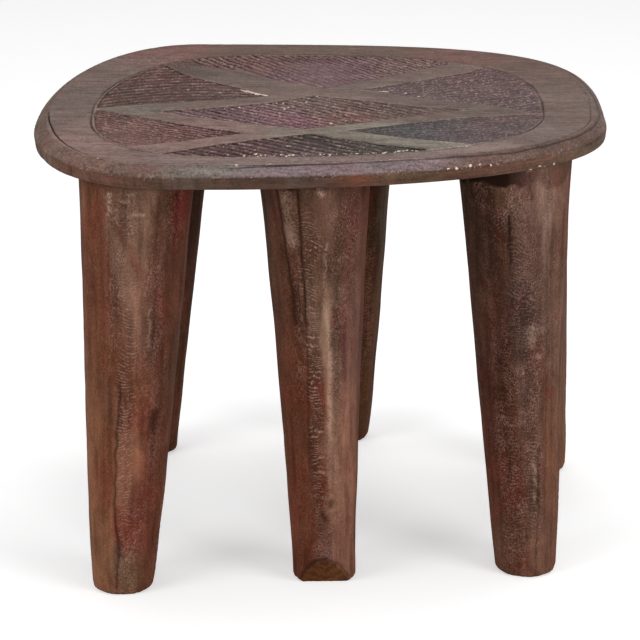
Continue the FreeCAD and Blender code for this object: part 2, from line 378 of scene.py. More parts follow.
# two lines scribed near the edge: degrees round from the back, inset from the edge, strength
ring_line = (
    (0, 15, 0.05), (70, 11, 0.05), (84, 11, 0.5), (97, 14, 0.9), (116, 17.5, 1.0), (135, 18.3, 1.0),
    (152, 16, 1.0), (163, 17.5, 0.7), (174, 19, 0.2), (195, 20.5, 0.1), (212, 21, 0.45), (222, 21.5, 0.5),
    (232, 18.7, 0.5), (240, 14.5, 0.5), (249, 13, 0.6), (259, 15.3, 0.6), (268, 16.2, 0.4),
    (278, 13.5, 0.25), (289, 17.8, 0.15), (360, 15, 0.05))
edge_line = (
    (188, 8, 0.0), (192, 8, 0.3), (198, 8.7, 0.8), (204, 10, 0.9), (224, 11.5, 1.0), (231, 11.5, 0.8),
    (242, 8.8, 0.8), (247, 7, 0.9), (256, 8.2, 0.8), (266, 9.5, 0.6), (271, 6, 0.6), (279, 7, 0.7),
    (286, 10.8, 0.7), (292, 13.3, 0.6), (303, 14, 0.0))
# knocks down to the wood: places of small chips on the face
chips = (
    (-68, -192), (-58, -190), (-50, -197), (-40, -200), (-30, -198), (-24, -193), (2, -193), (11, -192),
    (35, -188), (80, -178), (88, -176), (92, -177), (-75, -231), (-55, -228), (-45, -227), (-36, -230),
    (15, -220), (48, -212), (60, -213), (67, -210), (-95, -25), (-80, -22), (-68, -17), (-5, 20),
    (-66, -63), (-67, -29), (-60, -33), (-36, -28), (-33, -20), (-30, -12), (-15, 0), (3, -22), (12, -18),
    (22, -12), (28, 4), (10, -82), (140, -31), (62, 37), (84, 33), (96, 22), (103, 27), (136, 33),
    (155, 34), (205, 5), (211, 0), (-204, -210), (121, -149), (136, -154))
# scratches down to the wood: where each starts and ends
pale_scars = (((-82, 46), (-70, 34)), ((-70, 34), (-56, 21)), ((-62, -14), (-38, -3)),
              ((-163, 132), (-147, 112)), ((57, 42), (66, 41)))


def beside(edge, offset):
    """Points at some distance beside a field's edge, without those that cross at its tips."""
    run = np.roll(edge, -1, axis=0) - np.roll(edge, 1, axis=0)
    out = np.stack([-run[:, 1], run[:, 0]], 1) / np.hypot(*run.T)[:, None]
    points = edge + out * offset
    return points[np.abs(signed_distance(edge, *points.T)) > 0.8 * abs(offset)]


def line_offset(table, x, y):
    """Distance inwards from a line scribed near the edge, and the line's strength there."""
    split_x, split_y = split_of(seat_shape)
    round_seat = (np.degrees(np.arctan2(y - split_y, x - split_x)) - 90) % 360
    turns, insets, strengths = np.array(table).T
    inset = np.interp(round_seat, turns, insets) + 0.3 * waver(x, y, 60.0, 3)
    return depth_inside(seat_shape, 0.0, x, y)[0] - inset, np.interp(round_seat, turns, strengths)


def beside_line(table, offset):
    """Points that follow a line scribed near the edge, at some distance inside it."""
    inset = np.full(line_steps, border_inset)
    for _ in range(4):
        points = outline(seat_shape, inset, line_turns)
        inset = inset + offset - line_offset(table, *points.T)[0]
    return points[depth_inside(seat_shape, border_inset, *points.T)[0] > 0.9]


def oval_offset(x, y):
    return depth_inside(oval_shape, 0.0, x, y)[0] + 0.5 * waver(x, y, 110.0, 5)


def near_any_line(x, y):
    """Whether a point of the plain grid comes too near a marked line."""
    near = np.abs(line_offset(ring_line, x, y)[0]) < 3.6
    near |= depth_inside(seat_shape, border_inset, x, y)[0] < 2.2
    near |= np.abs(oval_offset(x, y)) < 3.6
    for field in fields.values():
        close = ((np.stack([x, y], 1) > field["low"] - 4) & (np.stack([x, y], 1) < field["high"] + 4)).all(1)
        spots = np.flatnonzero(close)
        near[spots] |= signed_distance(field["edge"], x[spots], y[spots]) > -3.6
    return near


def plain_grid():
    """A staggered grid over the border and the bands."""
    rows = np.arange(-seat_shape[1], seat_shape[1], grid_pace * 0.866)
    columns = np.arange(-seat_shape[0], seat_shape[0], grid_pace)
    x, y = np.meshgrid(columns, rows)
    x = x + np.where(np.arange(len(rows)) % 2, grid_pace / 2, 0.0)[:, None]
    x, y = x.ravel() + 0.5 * waver(x, y, 9.0, 31).ravel(), y.ravel()
    inside = depth_inside(seat_shape, border_inset, x, y)[0] > 2.0
    x, y = x[inside], y[inside]
    clear = ~near_any_line(x, y)
    return np.stack([x[clear], y[clear]], 1)


line_turns = np.arange(line_steps) * 2 * math.pi / line_steps
parts = [outline(seat_shape, border_inset, rim_turns)]
corners_in_order = [np.arange(rim_points)]
count = rim_points
for field in fields.values():
    parts.append(field["edge"])
    corners_in_order.append(np.arange(count, count + len(field["edge"])))
    count += len(field["edge"])
for offset in (-2.4, -1.3, -0.7, 0.0, 0.7, 1.3, 2.4):
    parts.append(beside_line(ring_line, offset))
for offset in (-2.4, -1.2, -0.5, 0.0, 0.5, 1.2, 2.4):
    parts.append(outline(oval_shape, offset, line_turns))
for field in fields.values():
    parts += [beside(field["edge"], offset) for offset in (1.2, 0.6, -0.7, -1.9)]
    parts.append(groove_points(field, groove_pace))
parts.append(plain_grid())
chip_turns = np.arange(6) * math.pi / 3
parts += [np.array(place) + 1.5 * np.stack([np.cos(chip_turns), np.sin(chip_turns)], 1) for place in chips]
for start, end in pale_scars:
    steps = np.linspace(0, 1, 1 + int(math.dist(start, end) / 1.5))[:, None]
    parts.append(np.array(start) + steps * (np.array(end) - start))
layout = np.vstack(parts)
lines = [(int(a), int(b)) for loop in corners_in_order for a, b in zip(loop, np.roll(loop, -1))]
print("layout", len(layout), "points,", len(lines), "marked edges")

# %% [markdown]
# The joined face is laid on top of the rim and the two are stitched into one closed solid. A
# count of open edges tells whether the seam holds.

# %% Join the layout into one face and lay it on the slab
made = geometry.delaunay_2d_cdt([Vector(place) for place in layout], lines, [], 0, 1e-4)
face_mesh = bpy.data.meshes.new("seat_face")
face_mesh.from_pydata([(place.x * mm, place.y * mm, table_height * mm) for place in made[0]],
                      [], made[2])
face = bpy.data.objects.new("seat_face", face_mesh)
bpy.context.collection.objects.link(face)
only(seat, face)
bpy.ops.object.join()
bpy.ops.object.mode_set(mode="EDIT")
bpy.ops.mesh.select_all(action="SELECT")
bpy.ops.mesh.remove_doubles(threshold=0.01 * mm)
bpy.ops.mesh.quads_convert_to_tris()
bpy.ops.mesh.normals_make_consistent(inside=False)
bpy.ops.object.mode_set(mode="OBJECT")
open_edges = bmesh.new()
open_edges.from_mesh(seat.data)
print("seat", len(seat.data.polygons), "triangles, open edges",
      sum(not edge.is_manifold for edge in open_edges.edges))
open_edges.free()


# %% [markdown]
# Carving is now a matter of lowering points. The grooves are V-shaped with worn ridges,
# their depth changes from stroke to stroke, and they are almost rubbed away in places. The
# same pass notes what the finish needs later: how deep a point lies, where dirt and painted
# shade darken it, where wear and painted highlight turn it pale, where bare wood shows, and
# which field it belongs to.

# %% Carve the face
def read_points(mesh):
    """All points of a mesh in millimetres, as three rows."""
    flat = np.empty(len(mesh.vertices) * 3)
    mesh.vertices.foreach_get("co", flat)
    return flat.reshape(-1, 3).T / mm


def write_points(mesh, points):
    mesh.vertices.foreach_set("co", (points * mm).T.ravel())
    mesh.update()


def spots_at(x, y, spots):
    """The strongest of several round soft spots (x, y, reach, strength) at each point."""
    found = np.zeros_like(x)
    for spot_x, spot_y, reach, strength in spots:
        found = np.maximum(found, strength * bump_at(np.hypot(x - spot_x, y - spot_y), reach))
    return found


# where the grooves have worn shallow: place, reach and how much
rubbed_away = (
    (0, 95, 34, 0.85), (-10, 130, 38, 0.75), (20, 70, 30, 0.8), (-185, -140, 30, 0.7),
    (-165, -165, 30, 0.8), (60, -60, 26, 0.4), (175, -120, 30, 0.5), (90, 10, 30, 0.5), (170, 20, 40, 0.4),
    (-60, 120, 20, 0.5), (120, -40, 20, 0.7), (40, -165, 40, 0.35))
# where ridges stand sharp and pale, with wear, painted highlights and painted glints
sharp_places = (
    (-110, 165, 42, 0.8), (105, 160, 34, 0.8), (-150, 80, 30, 0.4), (-195, 30, 30, 0.3),
    (-95, -40, 34, 1.0), (-55, -30, 30, 1.0), (-75, -178, 34, 0.9), (-20, 10, 22, 0.7),
    (-100, 35, 24, 0.5), (0, -50, 30, 0.8), (40, -20, 30, 0.5), (-30, -165, 30, 0.9), (20, -165, 26, 0.7),
    (-180, -80, 40, 0.4))
hatch_depth, ridge_drop, stop_depth, ring_depth, oval_depth = 2.8, 0.6, 2.3, 1.8, 1.2
ridge_round, ridge_lift = 0.012, 0.11


def scribed(offset, depth, mouth):
    """Depth of a scribed V line at some offset from its middle, and how dark its groove is painted with dirt
    and shade.
    """
    cut = np.clip(1 - np.abs(offset) / mouth, 0.0, 1.0)
    return depth * cut, cut ** 0.5


x, y, z = read_points(seat.data)
on_face = z > table_height - 0.01
depth, dirt_and_shade, crest_wear_and_highlight, in_field, dusted = (np.zeros_like(x) for _ in range(5))
across_row, along_row, bitten = (np.zeros_like(x) for _ in range(3))
field_of = np.full(len(x), -1)
for number, field in enumerate(fields.values()):
    spots = np.flatnonzero(on_face & (x > field["low"][0] - 6) & (x < field["high"][0] + 6)
                           & (y > field["low"][1] - 6) & (y < field["high"][1] + 6))
    px, py = x[spots], y[spots]
    inside = signed_distance(field["edge"], px, py)
    phase, along = groove_count(field, px, py)
    stroke, ridge = np.floor(phase), np.round(phase)
    low = 1 - np.abs(2 * (phase - stroke) - 1)
    low = np.clip(np.sqrt(low ** 2 + ridge_round) - ridge_lift, 0, 1)
    bite = field["bite"] * np.clip(0.85 + 0.3 * waver(along, 31 * stroke, 46.0, 80 + number), 0.3, 1.1)
    bite = bite * (1 - spots_at(px, py, rubbed_away))
    chip = soft_step(0.5 + 1.4 * waver(along, 57 * ridge, 17.0, 90 + number))
    floor = (ridge_drop * (0.6 + 0.4 * bite) + (hatch_depth - ridge_drop) * low * bite
             + 0.5 * (1 - chip) * (1 - low))
    stop = stop_depth * bump_at(inside - 1.2, 0.9) * (0.55 + 0.45 * bite)
    shoulder = 0.4 * np.exp(-np.maximum(-inside, 0.0) / 1.3) * (inside < 0.3)
    cut = np.maximum(floor, stop) * soft_step((inside + 0.3) / 1.3) + shoulder
    depth[spots] = np.maximum(depth[spots], cut)
    open_side = soft_step((oval_offset(px, py) - 4.0) / 3.0)
    # dirt and painted shade along the field's edge walls and in the groove bottoms
    grime_and_shade = bump_at(inside - 0.8, 0.9) * (0.6 + 0.4 * bite) * (0.3 + 0.7 * open_side)
    dirt_and_shade[spots] = np.maximum.reduce([dirt_and_shade[spots], grime_and_shade, np.where(inside > 0, low ** 1.5 * bite, 0)])
    # proud ridges and the field's outer edge turn pale with wear and painted highlight
    proud = (1 - low) ** 3 * chip * (0.4 + 0.6 * bite) * (inside > 1.6)
    crest_wear_and_highlight[spots] = np.maximum.reduce([crest_wear_and_highlight[spots], proud, 0.7 * bump_at(inside + 0.7, 0.7)])
    within = soft_step((inside + 0.5) / 1.0)
    in_field[spots] = np.maximum(in_field[spots], within)
    dusted[spots] = np.maximum(dusted[spots], within * field["frost"])
    near = spots[inside > -3.0]
    across_row[near], along_row[near] = phase[inside > -3.0], along[inside > -3.0]
    bitten[spots] = np.maximum(bitten[spots], bite * within)
    field_of[spots] = np.where(inside > -0.3, number, field_of[spots])
print("fields carved, deepest cut %.2f mm" % depth.max())

# %% [markdown]
# The ring, the line outside it and the oval are single strokes of a pointed tool. They bite
# deep at the front left and the right and hardly mark the back. Each groove is painted dark with
# dirt and shade, and each raises a lip on one side, painted pale with wear and highlight. The
# rest of the face has been scraped, which leaves it softly uneven.

# %% Scribe the ring and the oval, and scrape the face
ring_away, ring_share = line_offset(ring_line, x, y)
edge_away, edge_share = line_offset(edge_line, x, y)
ring_cut, ring_dark = scribed(ring_away, ring_depth, 1.1)
edge_cut, edge_dark = scribed(edge_away, 0.8, 1.3)
shoulder_height, mean_seat_radius = 14.0, 255.0
upper = z > underside + shoulder_height
edge_share = edge_share * upper
oval_away, at_right = oval_offset(x, y), soft_step((x - 140) / 30)
oval_cut, oval_dark = scribed(oval_away, oval_depth, 1.3 + 0.6 * at_right)
oval_share = 0.75 + 0.25 * waver(x, y, 120.0, 9)
depth = depth + ring_cut * ring_share + oval_cut * oval_share
# the scribed grooves are darkened with dirt and painted shade
dirt_and_shade = np.maximum.reduce([dirt_and_shade, ring_dark * ring_share, oval_dark * oval_share])
# how pale the lips beside the oval and the ring are, with wear and painted highlight
lip_paleness = 0.55 + 0.45 * waver(x, y, 60.0, 27)
crest_wear_and_highlight = np.maximum.reduce([crest_wear_and_highlight, 0.8 * lip_paleness * bump_at(oval_away - 2.0 + 4.0 * at_right, 0.7),
                           0.5 * lip_paleness * ring_share * bump_at(ring_away + 1.9, 0.7)])
scraped = 0.28 * (1 + waver(x, y, 75.0, 21)) + 0.12 * (1 + waver(x, y, 24.0, 22))
flat = (1 - in_field) * soft_step(depth_inside(seat_shape, border_inset, x, y)[0] / 6.0)
z = np.where(on_face, np.minimum(z - depth - scraped * flat, table_height), z)
z = np.where(on_face, z, z - edge_cut * edge_share)
dirt_and_shade, crest_wear_and_highlight = np.maximum(dirt_and_shade * on_face, edge_dark * edge_share), crest_wear_and_highlight * on_face
write_points(seat.data, np.array([x, y, z]))
print("mean depth of the face %.2f mm" % depth[on_face].mean())

# %% [markdown]
# The rim's side shows upright chisel cuts at the left only, and its shoulder is dented and
# rubbed. Each point of the rim is pushed in a little along the outline's own direction, never
# out, so the slab keeps its size.

# %% Tool marks on the rim
on_rim = (~on_face) & (depth_inside(seat_shape, 0.0, x, y)[0] < border_inset + 0.5) & (z > underside + 0.2)
split_x, split_y = split_of(seat_shape)
run = np.arctan2(y - split_y, x - split_x) * mean_seat_radius
rise_share = (z - underside) / slab_thickness
cut_width = 11.0 + 3.0 * np.sin(run / 41.0)
facet = np.abs(((run / cut_width) % 1.0) - 0.5) * 2
on_side = bump_at(rise_share - 0.28, 0.30)
left_share = 0.08 + 0.92 * soft_step((-x - 50) / 110)
dents = np.clip(waver(run, z * 2.2, 17.0, 41) - 0.45, 0, 1) * 1.2
push = (0.9 * facet ** 3 * on_side * left_share + 0.35 * (1 + waver(run, z * 3, 90.0, 42)) * on_side
        + 0.3 * np.clip(waver(run * 0.3, z * 3, 22.0, 44), 0, 1) * on_side
        + dents * bump_at(rise_share - 0.68, 0.2))
out = np.stack([x - split_x, y - split_y]) / np.hypot(x - split_x, y - split_y)
x = np.where(on_rim, x - out[0] * push, x)
y = np.where(on_rim, y - out[1] * push, y)
z = np.where(on_rim, z - 0.3 * dents * soft_step(rise_share * 2 - 1), z)
write_points(seat.data, np.array([x, y, z]))
# the hollow seams between chisel cuts are darkened
chisel = on_rim * on_side * left_share * facet ** 6
dirt_and_shade = np.maximum(dirt_and_shade, 0.85 * chisel)
patchy = np.clip(0.3 + 1.3 * waver(run, z, 55.0, 43), 0, 1)
patchy = np.maximum(patchy, 1.2 * bump_at(x - 140, 45) * (y < 0))
rim_frost = on_rim * bump_at(rise_share - 0.62, 0.12) * patchy * (0.4 + 0.6 * soft_step((-y - 60) / 80))
print("rim pushed in by at most %.2f mm" % push[on_rim].max())

# %% [markdown]
# The seat has been dyed, and each part has taken the dye its own way: grey-brown and pinkish
# on the border, maroon, plum, slate and near black in the fields. The rim's upright side is dyed
# darker than the top, as painted shade, since the light comes from above. Painting by hand
# would put a few dabs of each dye and let them run together. So do these lists: a place, a
# reach and a colour, blended by distance, kept on the mesh as a colour attribute.

# %% Dyes for the seat
def dye(red, green, blue):
    """A colour as it is seen on the wood, turned into the light that Blender counts with."""
    seen = np.array([red, green, blue]) / 255.0
    return np.where(seen <= 0.04045, seen / 12.92, ((seen + 0.055) / 1.055) ** 2.4)


umber, grey_brown, olive_brown = dye(92, 68, 58), dye(116, 97, 90), dye(106, 87, 76)
pink_tan, tan, rosy = dye(134, 107, 100), dye(130, 110, 104), dye(122, 88, 80)
band_grey, band_green, deep_brown = dye(112, 95, 88), dye(124, 116, 104), dye(84, 64, 52)
maroon, plum, wine = dye(108, 68, 64), dye(116, 88, 92), dye(92, 60, 60)
black_brown, magenta, bare_wood = dye(70, 56, 52), dye(134, 92, 102), dye(226, 204, 188)
violet_grey, green_grey = dye(122, 104, 108), dye(106, 104, 94)

border_dabs = (
    (0, 222, 70, olive_brown), (-150, 195, 50, rosy), (-90, 215, 40, olive_brown),
    (-250, 0, 80, grey_brown), (-215, 110, 50, grey_brown), (-200, -160, 60, pink_tan),
    (-60, -212, 90, tan), (150, -190, 80, tan), (250, -20, 80, grey_brown), (150, 185, 40, rosy),
    (200, 165, 40, olive_brown), (235, 100, 40, dye(114, 92, 84)))
band_dabs = (
    (-10, 45, 50, grey_brown), (-100, 95, 50, band_grey), (-120, -15, 50, band_grey),
    (-180, -35, 30, band_green), (-90, -95, 60, pink_tan), (-10, -105, 40, band_green),
    (150, -20, 50, dye(108, 92, 84)), (100, -150, 44, dye(132, 124, 112)), (95, 95, 60, grey_brown),
    (-120, -155, 50, pink_tan), (-150, 145, 34, deep_brown))
bevel_dabs = (
    (-270, 0, 80, dye(104, 84, 70)), (-190, -200, 50, dye(112, 86, 74)), (-100, -235, 30, green_grey),
    (-40, -240, 50, violet_grey), (60, -240, 50, violet_grey), (170, -190, 40, umber),
    (240, -120, 40, umber), (270, 0, 80, grey_brown), (0, 240, 120, olive_brown))
# painted shade: the rim's upright side is dyed darker than the top, as it gets less light from above
side_dabs_with_shade = (
    (-260, -80, 60, dye(92, 74, 58)), (-190, -200, 40, dye(92, 64, 52)), (-90, -235, 50, dye(76, 58, 48)),
    (0, -242, 30, dye(76, 56, 48)), (35, -242, 22, dye(104, 62, 44)), (90, -235, 30, dye(84, 66, 50)),
    (150, -215, 40, dye(86, 60, 48)), (210, -170, 30, dye(98, 72, 60)), (262, -90, 60, dye(88, 72, 60)),
    (0, 242, 160, umber), (-60, -242, 14, dye(70, 48, 38)))
field_dabs = {
    "back": (
        (-100, 165, 45, dye(122, 90, 84)), (0, 130, 50, plum), (90, 155, 45, dye(124, 98, 92)),
        (-30, 185, 40, dye(112, 80, 76)), (40, 175, 30, plum)),
    "left_back": (
        (-160, 90, 45, dye(98, 68, 62)), (-130, 25, 45, dye(84, 60, 54)), (-190, 10, 35, dye(92, 68, 60)),
        (-95, 45, 25, dye(100, 80, 76))),
    "left_front": (
        (-190, -70, 35, dye(112, 80, 74)), (-140, -100, 40, dye(106, 72, 68)),
        (-170, -150, 35, dye(118, 84, 78)), (-85, -105, 20, wine)),
    "centre": (
        (-100, -38, 20, plum), (-30, -66, 24, magenta), (60, -20, 50, dye(104, 86, 80)),
        (-10, 0, 30, grey_brown), (-60, -40, 40, plum), (30, -50, 30, rosy),
        (100, -30, 30, dye(98, 82, 76))),
    "front": (
        (0, -140, 35, dye(58, 48, 42)), (60, -155, 45, dye(60, 60, 52)), (-70, -175, 40, dye(84, 58, 56)),
        (-20, -175, 25, dye(98, 78, 80))),
    "right_back": (
        (120, 60, 60, dye(98, 80, 80)), (180, 40, 60, dye(100, 80, 80)), (150, 100, 40, dye(100, 72, 72))),
    "right_front": (
        (90, -100, 35, dye(70, 72, 74)), (145, -100, 35, dye(92, 78, 80)), (195, -70, 35, dye(98, 80, 78)),
        (45, -105, 25, dye(60, 60, 54))),
}


def run_together(x, y, dabs):
    """Dabs of dye (x, y, reach, colour), blended by how near they are."""
    total, weight = 0.0, 1e-12
    for spot_x, spot_y, reach, colour in dabs:
        near = np.exp(-((x - spot_x) ** 2 + (y - spot_y) ** 2) / reach ** 2) + 1e-9
        total, weight = total + near[:, None] * colour, weight + near
    return total / np.reshape(weight, (-1, 1))


def keep_colour(mesh, name, red, green=None, blue=None):
    """Store three values a point, or rows of colours, as a colour attribute."""
    colours = np.ones((len(mesh.vertices), 4))
    colours[:, :3] = red if green is None else np.stack([red, green, blue], 1)
    layer = mesh.color_attributes.new(name, "FLOAT_COLOR", "POINT")
    layer.data.foreach_set("color", colours.ravel())


stray_x, stray_y = x + 10 * waver(x, y, 60.0, 61), y + 10 * waver(x, y, 60.0, 62)
colour = run_together(stray_x, stray_y, border_dabs)
past_oval = soft_step((oval_offset(x, y) + 2) / 6)[:, None]
colour = colour * (1 - past_oval) + run_together(stray_x, stray_y, band_dabs) * past_oval
for number, dabs in enumerate(field_dabs.values()):
    share = (in_field * (field_of == number))[:, None]
    colour = colour * (1 - share) + run_together(stray_x, stray_y, dabs) * share
on_bevel = ((~on_face) * soft_step((z - underside - 11.5) / 1.5))[:, None]
colour = colour * (1 - 0.8 * on_bevel) + run_together(x, y, bevel_dabs) * 0.8 * on_bevel
side_zone = (~on_face) * soft_step((13.2 - (z - underside)) / 1.5)
# the rim's side takes the darker side dyes, painted shade
colour = colour * (1 - side_zone[:, None]) + run_together(stray_x, stray_y, side_dabs_with_shade) * side_zone[:, None]
below = (z < underside + 0.5).astype(float)[:, None]
colour = colour * (1 - below) + umber * 0.75 * below
print("dyed", len(x), "points")

# %% [markdown]
# A few edges have had their dye knocked off. Along many field edges a dark line is painted
# as the shade in the cut. Each is a line from place to place, with its reach and its strength,
# and the small chips were marked out before. They are stored with how dark each point is with
# dirt and painted shade and how pale with wear and painted highlight, as colour attributes whose
# three channels are three masks.

# %% Knocked edges and painted shade along field edges
scar_reach, scar_strengths = 1.2, (1.0, 1.0, 0.6, 0.5, 0.9)
# reach, strength, places along the line
bare_lines = tuple((scar_reach, strength, *scar) for strength, scar in zip(scar_strengths, pale_scars)) + (
    (1.9, 0.62, (-70, -196), (60, -184)), (1.7, 0.75, (60, -184), (84, -175)),
    (1.2, 0.5, (108, -172), (145, -158)), (6.0, 0.3, (-13, -223), (8, -223)))
# soft specks on the border: place, reach and strength
border_dust = (
    (-175, 160, 50, 0.7), (-235, 60, 40, 0.4), (-120, -205, 40, 0.5), (0, -215, 60, 0.5),
    (120, -190, 40, 0.5))
# painted shade: dark lines where a field's cut wall lies in shadow; reach, strength, places along the line
painted_shade_lines = (
    (2.6, 0.9, (-142, -4), (-115, 4), (-95, 9), (-60, 17)),
    (2.0, 0.8, (-165, -41), (-130, -37), (-95, -26), (-60, -13), (-30, 0), (-5, 19)),
    (2.0, 0.7, (-216, -38), (-185, -55), (-160, -73), (-115, -100), (-80, -119)),
    (3.2, 0.9, (-8, -122), (30, -143), (63, -159), (101, -171)),
    (2.0, 0.9, (42, 48), (60, 55), (100, 80), (125, 98), (155, 120)),
    (1.5, 0.6, (70, 62), (95, 68), (120, 82), (145, 100)), (2.2, 0.8, (165, 142), (203, 90), (212, 60)),
    (2.8, 0.8, (200, -100), (180, -132), (160, -147)), (1.6, 0.5, (45, -104), (190, -52)),
    (1.8, 0.6, (0, 52), (60, 95), (120, 148)), (1.6, 0.6, (-60, 88), (-120, 140), (-148, 160)))


def near_line(x, y, reach, places):
    """One on a line of strokes, fading over its reach."""
    found = np.zeros_like(x)
    for (x0, y0), (x1, y1) in zip(places, places[1:]):
        run, rise = x1 - x0, y1 - y0
        share = np.clip(((x - x0) * run + (y - y0) * rise) / (run ** 2 + rise ** 2), 0, 1)
        away = np.hypot(x - x0 - share * run, y - y0 - share * rise)
        found = np.maximum(found, bump_at(away, reach))
    return found


dusted = np.maximum(dusted, on_face * spots_at(x, y, border_dust))
knocked = spots_at(x, y, [(*place, 1.8, 0.95) for place in chips])
for reach, strength, *places in bare_lines:
    knocked = np.maximum(knocked, strength * near_line(x, y, reach, places))
knocked = knocked * upper
# chips along the rim: distance to the right, height above the underside
for chip_x, chip_up in ((199, 1.0), (207, 3.0), (213, 1.5), (222, 2.0), (-60, 12.5), (120, 12.5),
                        (128, 12.0), (141, 13.0), (150, 12.5), (160, 12.0)):
    at_front = (y < -60) & on_rim
    near = bump_at(np.hypot((x - chip_x) / 1.6, (z - underside - chip_up) / 1.1), 1.2)
    knocked = np.maximum(knocked, 0.9 * near * at_front)
wandering = 1.5 * waver(x, y, 30.0, 71)
# the painted shade lines darken the face
for reach, strength, *places in painted_shade_lines:
    line_dark = near_line(x + wandering, y - wandering, reach, places) * (0.75 + 0.25 * waver(x, y, 26.0, 72))
    dirt_and_shade = np.maximum(dirt_and_shade, strength * line_dark * on_face)
vivid = spots_at(x, y, sharp_places)
keep_colour(seat.data, "dye", colour)
# red: dirt and painted shade; green: wear and painted highlight; blue: chips
keep_colour(seat.data, "wear_and_painted_light", np.clip(dirt_and_shade, 0, 1), np.clip(crest_wear_and_highlight, 0, 1), np.clip(knocked, 0, 1))
keep_colour(seat.data, "dust", np.clip(dusted, 0, 1), np.clip(rim_frost, 0, 1), in_field)
keep_colour(seat.data, "rows", across_row, along_row * mm, bitten)
keep_colour(seat.data, "zone", side_zone, on_bevel[:, 0], vivid)
print("lines", len(bare_lines) + len(painted_shade_lines), "chips", len(chips))

# %% [markdown]
# The six legs are alike, so one blank is made and copied: a circle extruded up to the
# slab, drawn in to a round tenon, and cut into rings fine enough to carry tool marks. The
# tenon is slit by a wedge-shaped cutter, where the hidden wedge sits.

# %% Blank for the legs
leg_points, leg_lifts, leg_cuts = 165, 4, 74
foot_radius, neck_radius = 30.0, 56.0
wedge_depth, wedge_back, wedge_tip = 10.0, 3.2, 0.8

bpy.ops.object.select_all(action="DESELECT")
bpy.ops.mesh.primitive_circle_add(vertices=leg_points, radius=foot_radius * mm, fill_type="NGON")
blank = bpy.context.object
blank.name = "leg_blank"
bpy.ops.object.mode_set(mode="EDIT")
bpy.ops.mesh.select_all(action="SELECT")
for _ in range(leg_lifts):
    bpy.ops.mesh.extrude_region_move(
        TRANSFORM_OT_translate={"value": (0.0, 0.0, underside / leg_lifts * mm)})
bpy.ops.mesh.extrude_region_move(TRANSFORM_OT_translate={"value": (0.0, 0.0, 0.0)})
shrink = tenon_radius / foot_radius
bpy.ops.transform.resize(value=(shrink, shrink, 1.0), center_override=(0.0, 0.0, underside * mm))
bpy.ops.mesh.extrude_region_move(TRANSFORM_OT_translate={"value": (0.0, 0.0, tenon_length * mm)})
select_edges(blank, lambda edge: (edge.verts[0].co.xy - edge.verts[1].co.xy).length < 0.1 * mm
             and max(end.co.z for end in edge.verts) < (underside + 1) * mm)
bpy.ops.mesh.subdivide(number_cuts=leg_cuts)
bpy.ops.mesh.select_all(action="SELECT")
bpy.ops.mesh.normals_make_consistent(inside=False)
bpy.ops.object.mode_set(mode="OBJECT")

bpy.ops.mesh.primitive_cube_add(size=1.0)
slitter = bpy.context.object
for vertex in slitter.data.vertices:
    width = wedge_back if vertex.co.z > 0 else wedge_tip
    height = tenon_length + 0.4 if vertex.co.z > 0 else tenon_length - wedge_depth
    vertex.co = (math.copysign(width / 2, vertex.co.x) * mm,
                 math.copysign(tenon_radius + 5, vertex.co.y) * mm, (underside + height) * mm)
only(blank)
slit = blank.modifiers.new("slit", "BOOLEAN")
slit.object, slit.operation, slit.solver = slitter, "DIFFERENCE", "EXACT"
bpy.ops.object.modifier_apply(modifier=slit.name)
bpy.data.objects.remove(slitter)
print("leg blank", len(blank.data.vertices), "points")

# %% [markdown]
# The three front legs are seen closely, so their marks are listed one by one. A patch or a
# stroke is placed by its direction round the leg, in degrees with nought at the front and
# growing to the right, and by its height. The knife chattered in some patches, and in
# others the dye has worn to a net of pale threads. The hidden sides share one list, which is
# turned and lifted in another way on each leg.

# %% Patches and strokes of the legs
# direction, height, reach round, reach up, chatter, net of threads
leg_patches = {
    "front_left": (
        (-4, 385, 16, 26, 0.2, 1.0), (-14, 300, 8, 70, 0.1, 0.8), (2, 240, 12, 90, 0.6, 0.6),
        (0, 150, 11, 90, 0.8, 0.4), (28, 280, 13, 90, 0.1, 0.8), (45, 190, 12, 60, 0.0, 0.5),
        (8, 60, 20, 50, 0.2, 0.8), (48, 385, 12, 30, 0.0, 0.9)),
    "front_middle": (
        (-29, 375, 7, 40, 0.1, 1.0), (-25, 270, 6, 80, 0.1, 0.9), (-8, 330, 10, 50, 1.0, 0.3),
        (-6, 200, 9, 110, 1.0, 0.3), (26, 260, 10, 130, 0.0, 1.0), (45, 340, 14, 70, 0.0, 0.7),
        (0, 60, 18, 45, 0.3, 0.8), (20, 120, 16, 60, 0.1, 0.5)),
    "front_right": (
        (-40, 388, 24, 13, 0.0, 1.0), (-5, 375, 18, 26, 0.1, 1.0), (0, 300, 11, 60, 0.4, 0.6),
        (18, 280, 12, 60, 0.2, 0.8), (-20, 190, 14, 60, 0.2, 0.8), (10, 200, 16, 60, 0.1, 0.8),
        (-20, 90, 24, 80, 0.3, 0.7), (15, 110, 14, 70, 0.5, 0.8), (40, 300, 20, 100, 0.0, 0.3),
        (33, 385, 8, 30, 0.0, 1.0)),
}
back_patches = (
    (-120, 300, 14, 60, 0.4, 0.2), (-150, 120, 18, 90, 0.1, 0.6), (180, 330, 16, 60, 0.1, 0.6),
    (165, 160, 12, 80, 0.5, 0.2), (120, 240, 14, 80, 0.4, 0.3), (110, 60, 22, 60, 0.1, 0.6))
shaded_patches = (
    (-40, 250, 14, 70, 0.3, 0.3), (0, 320, 16, 80, 0.1, 0.5), (40, 160, 14, 80, 0.3, 0.3),
    (0, 60, 22, 60, 0.1, 0.5))
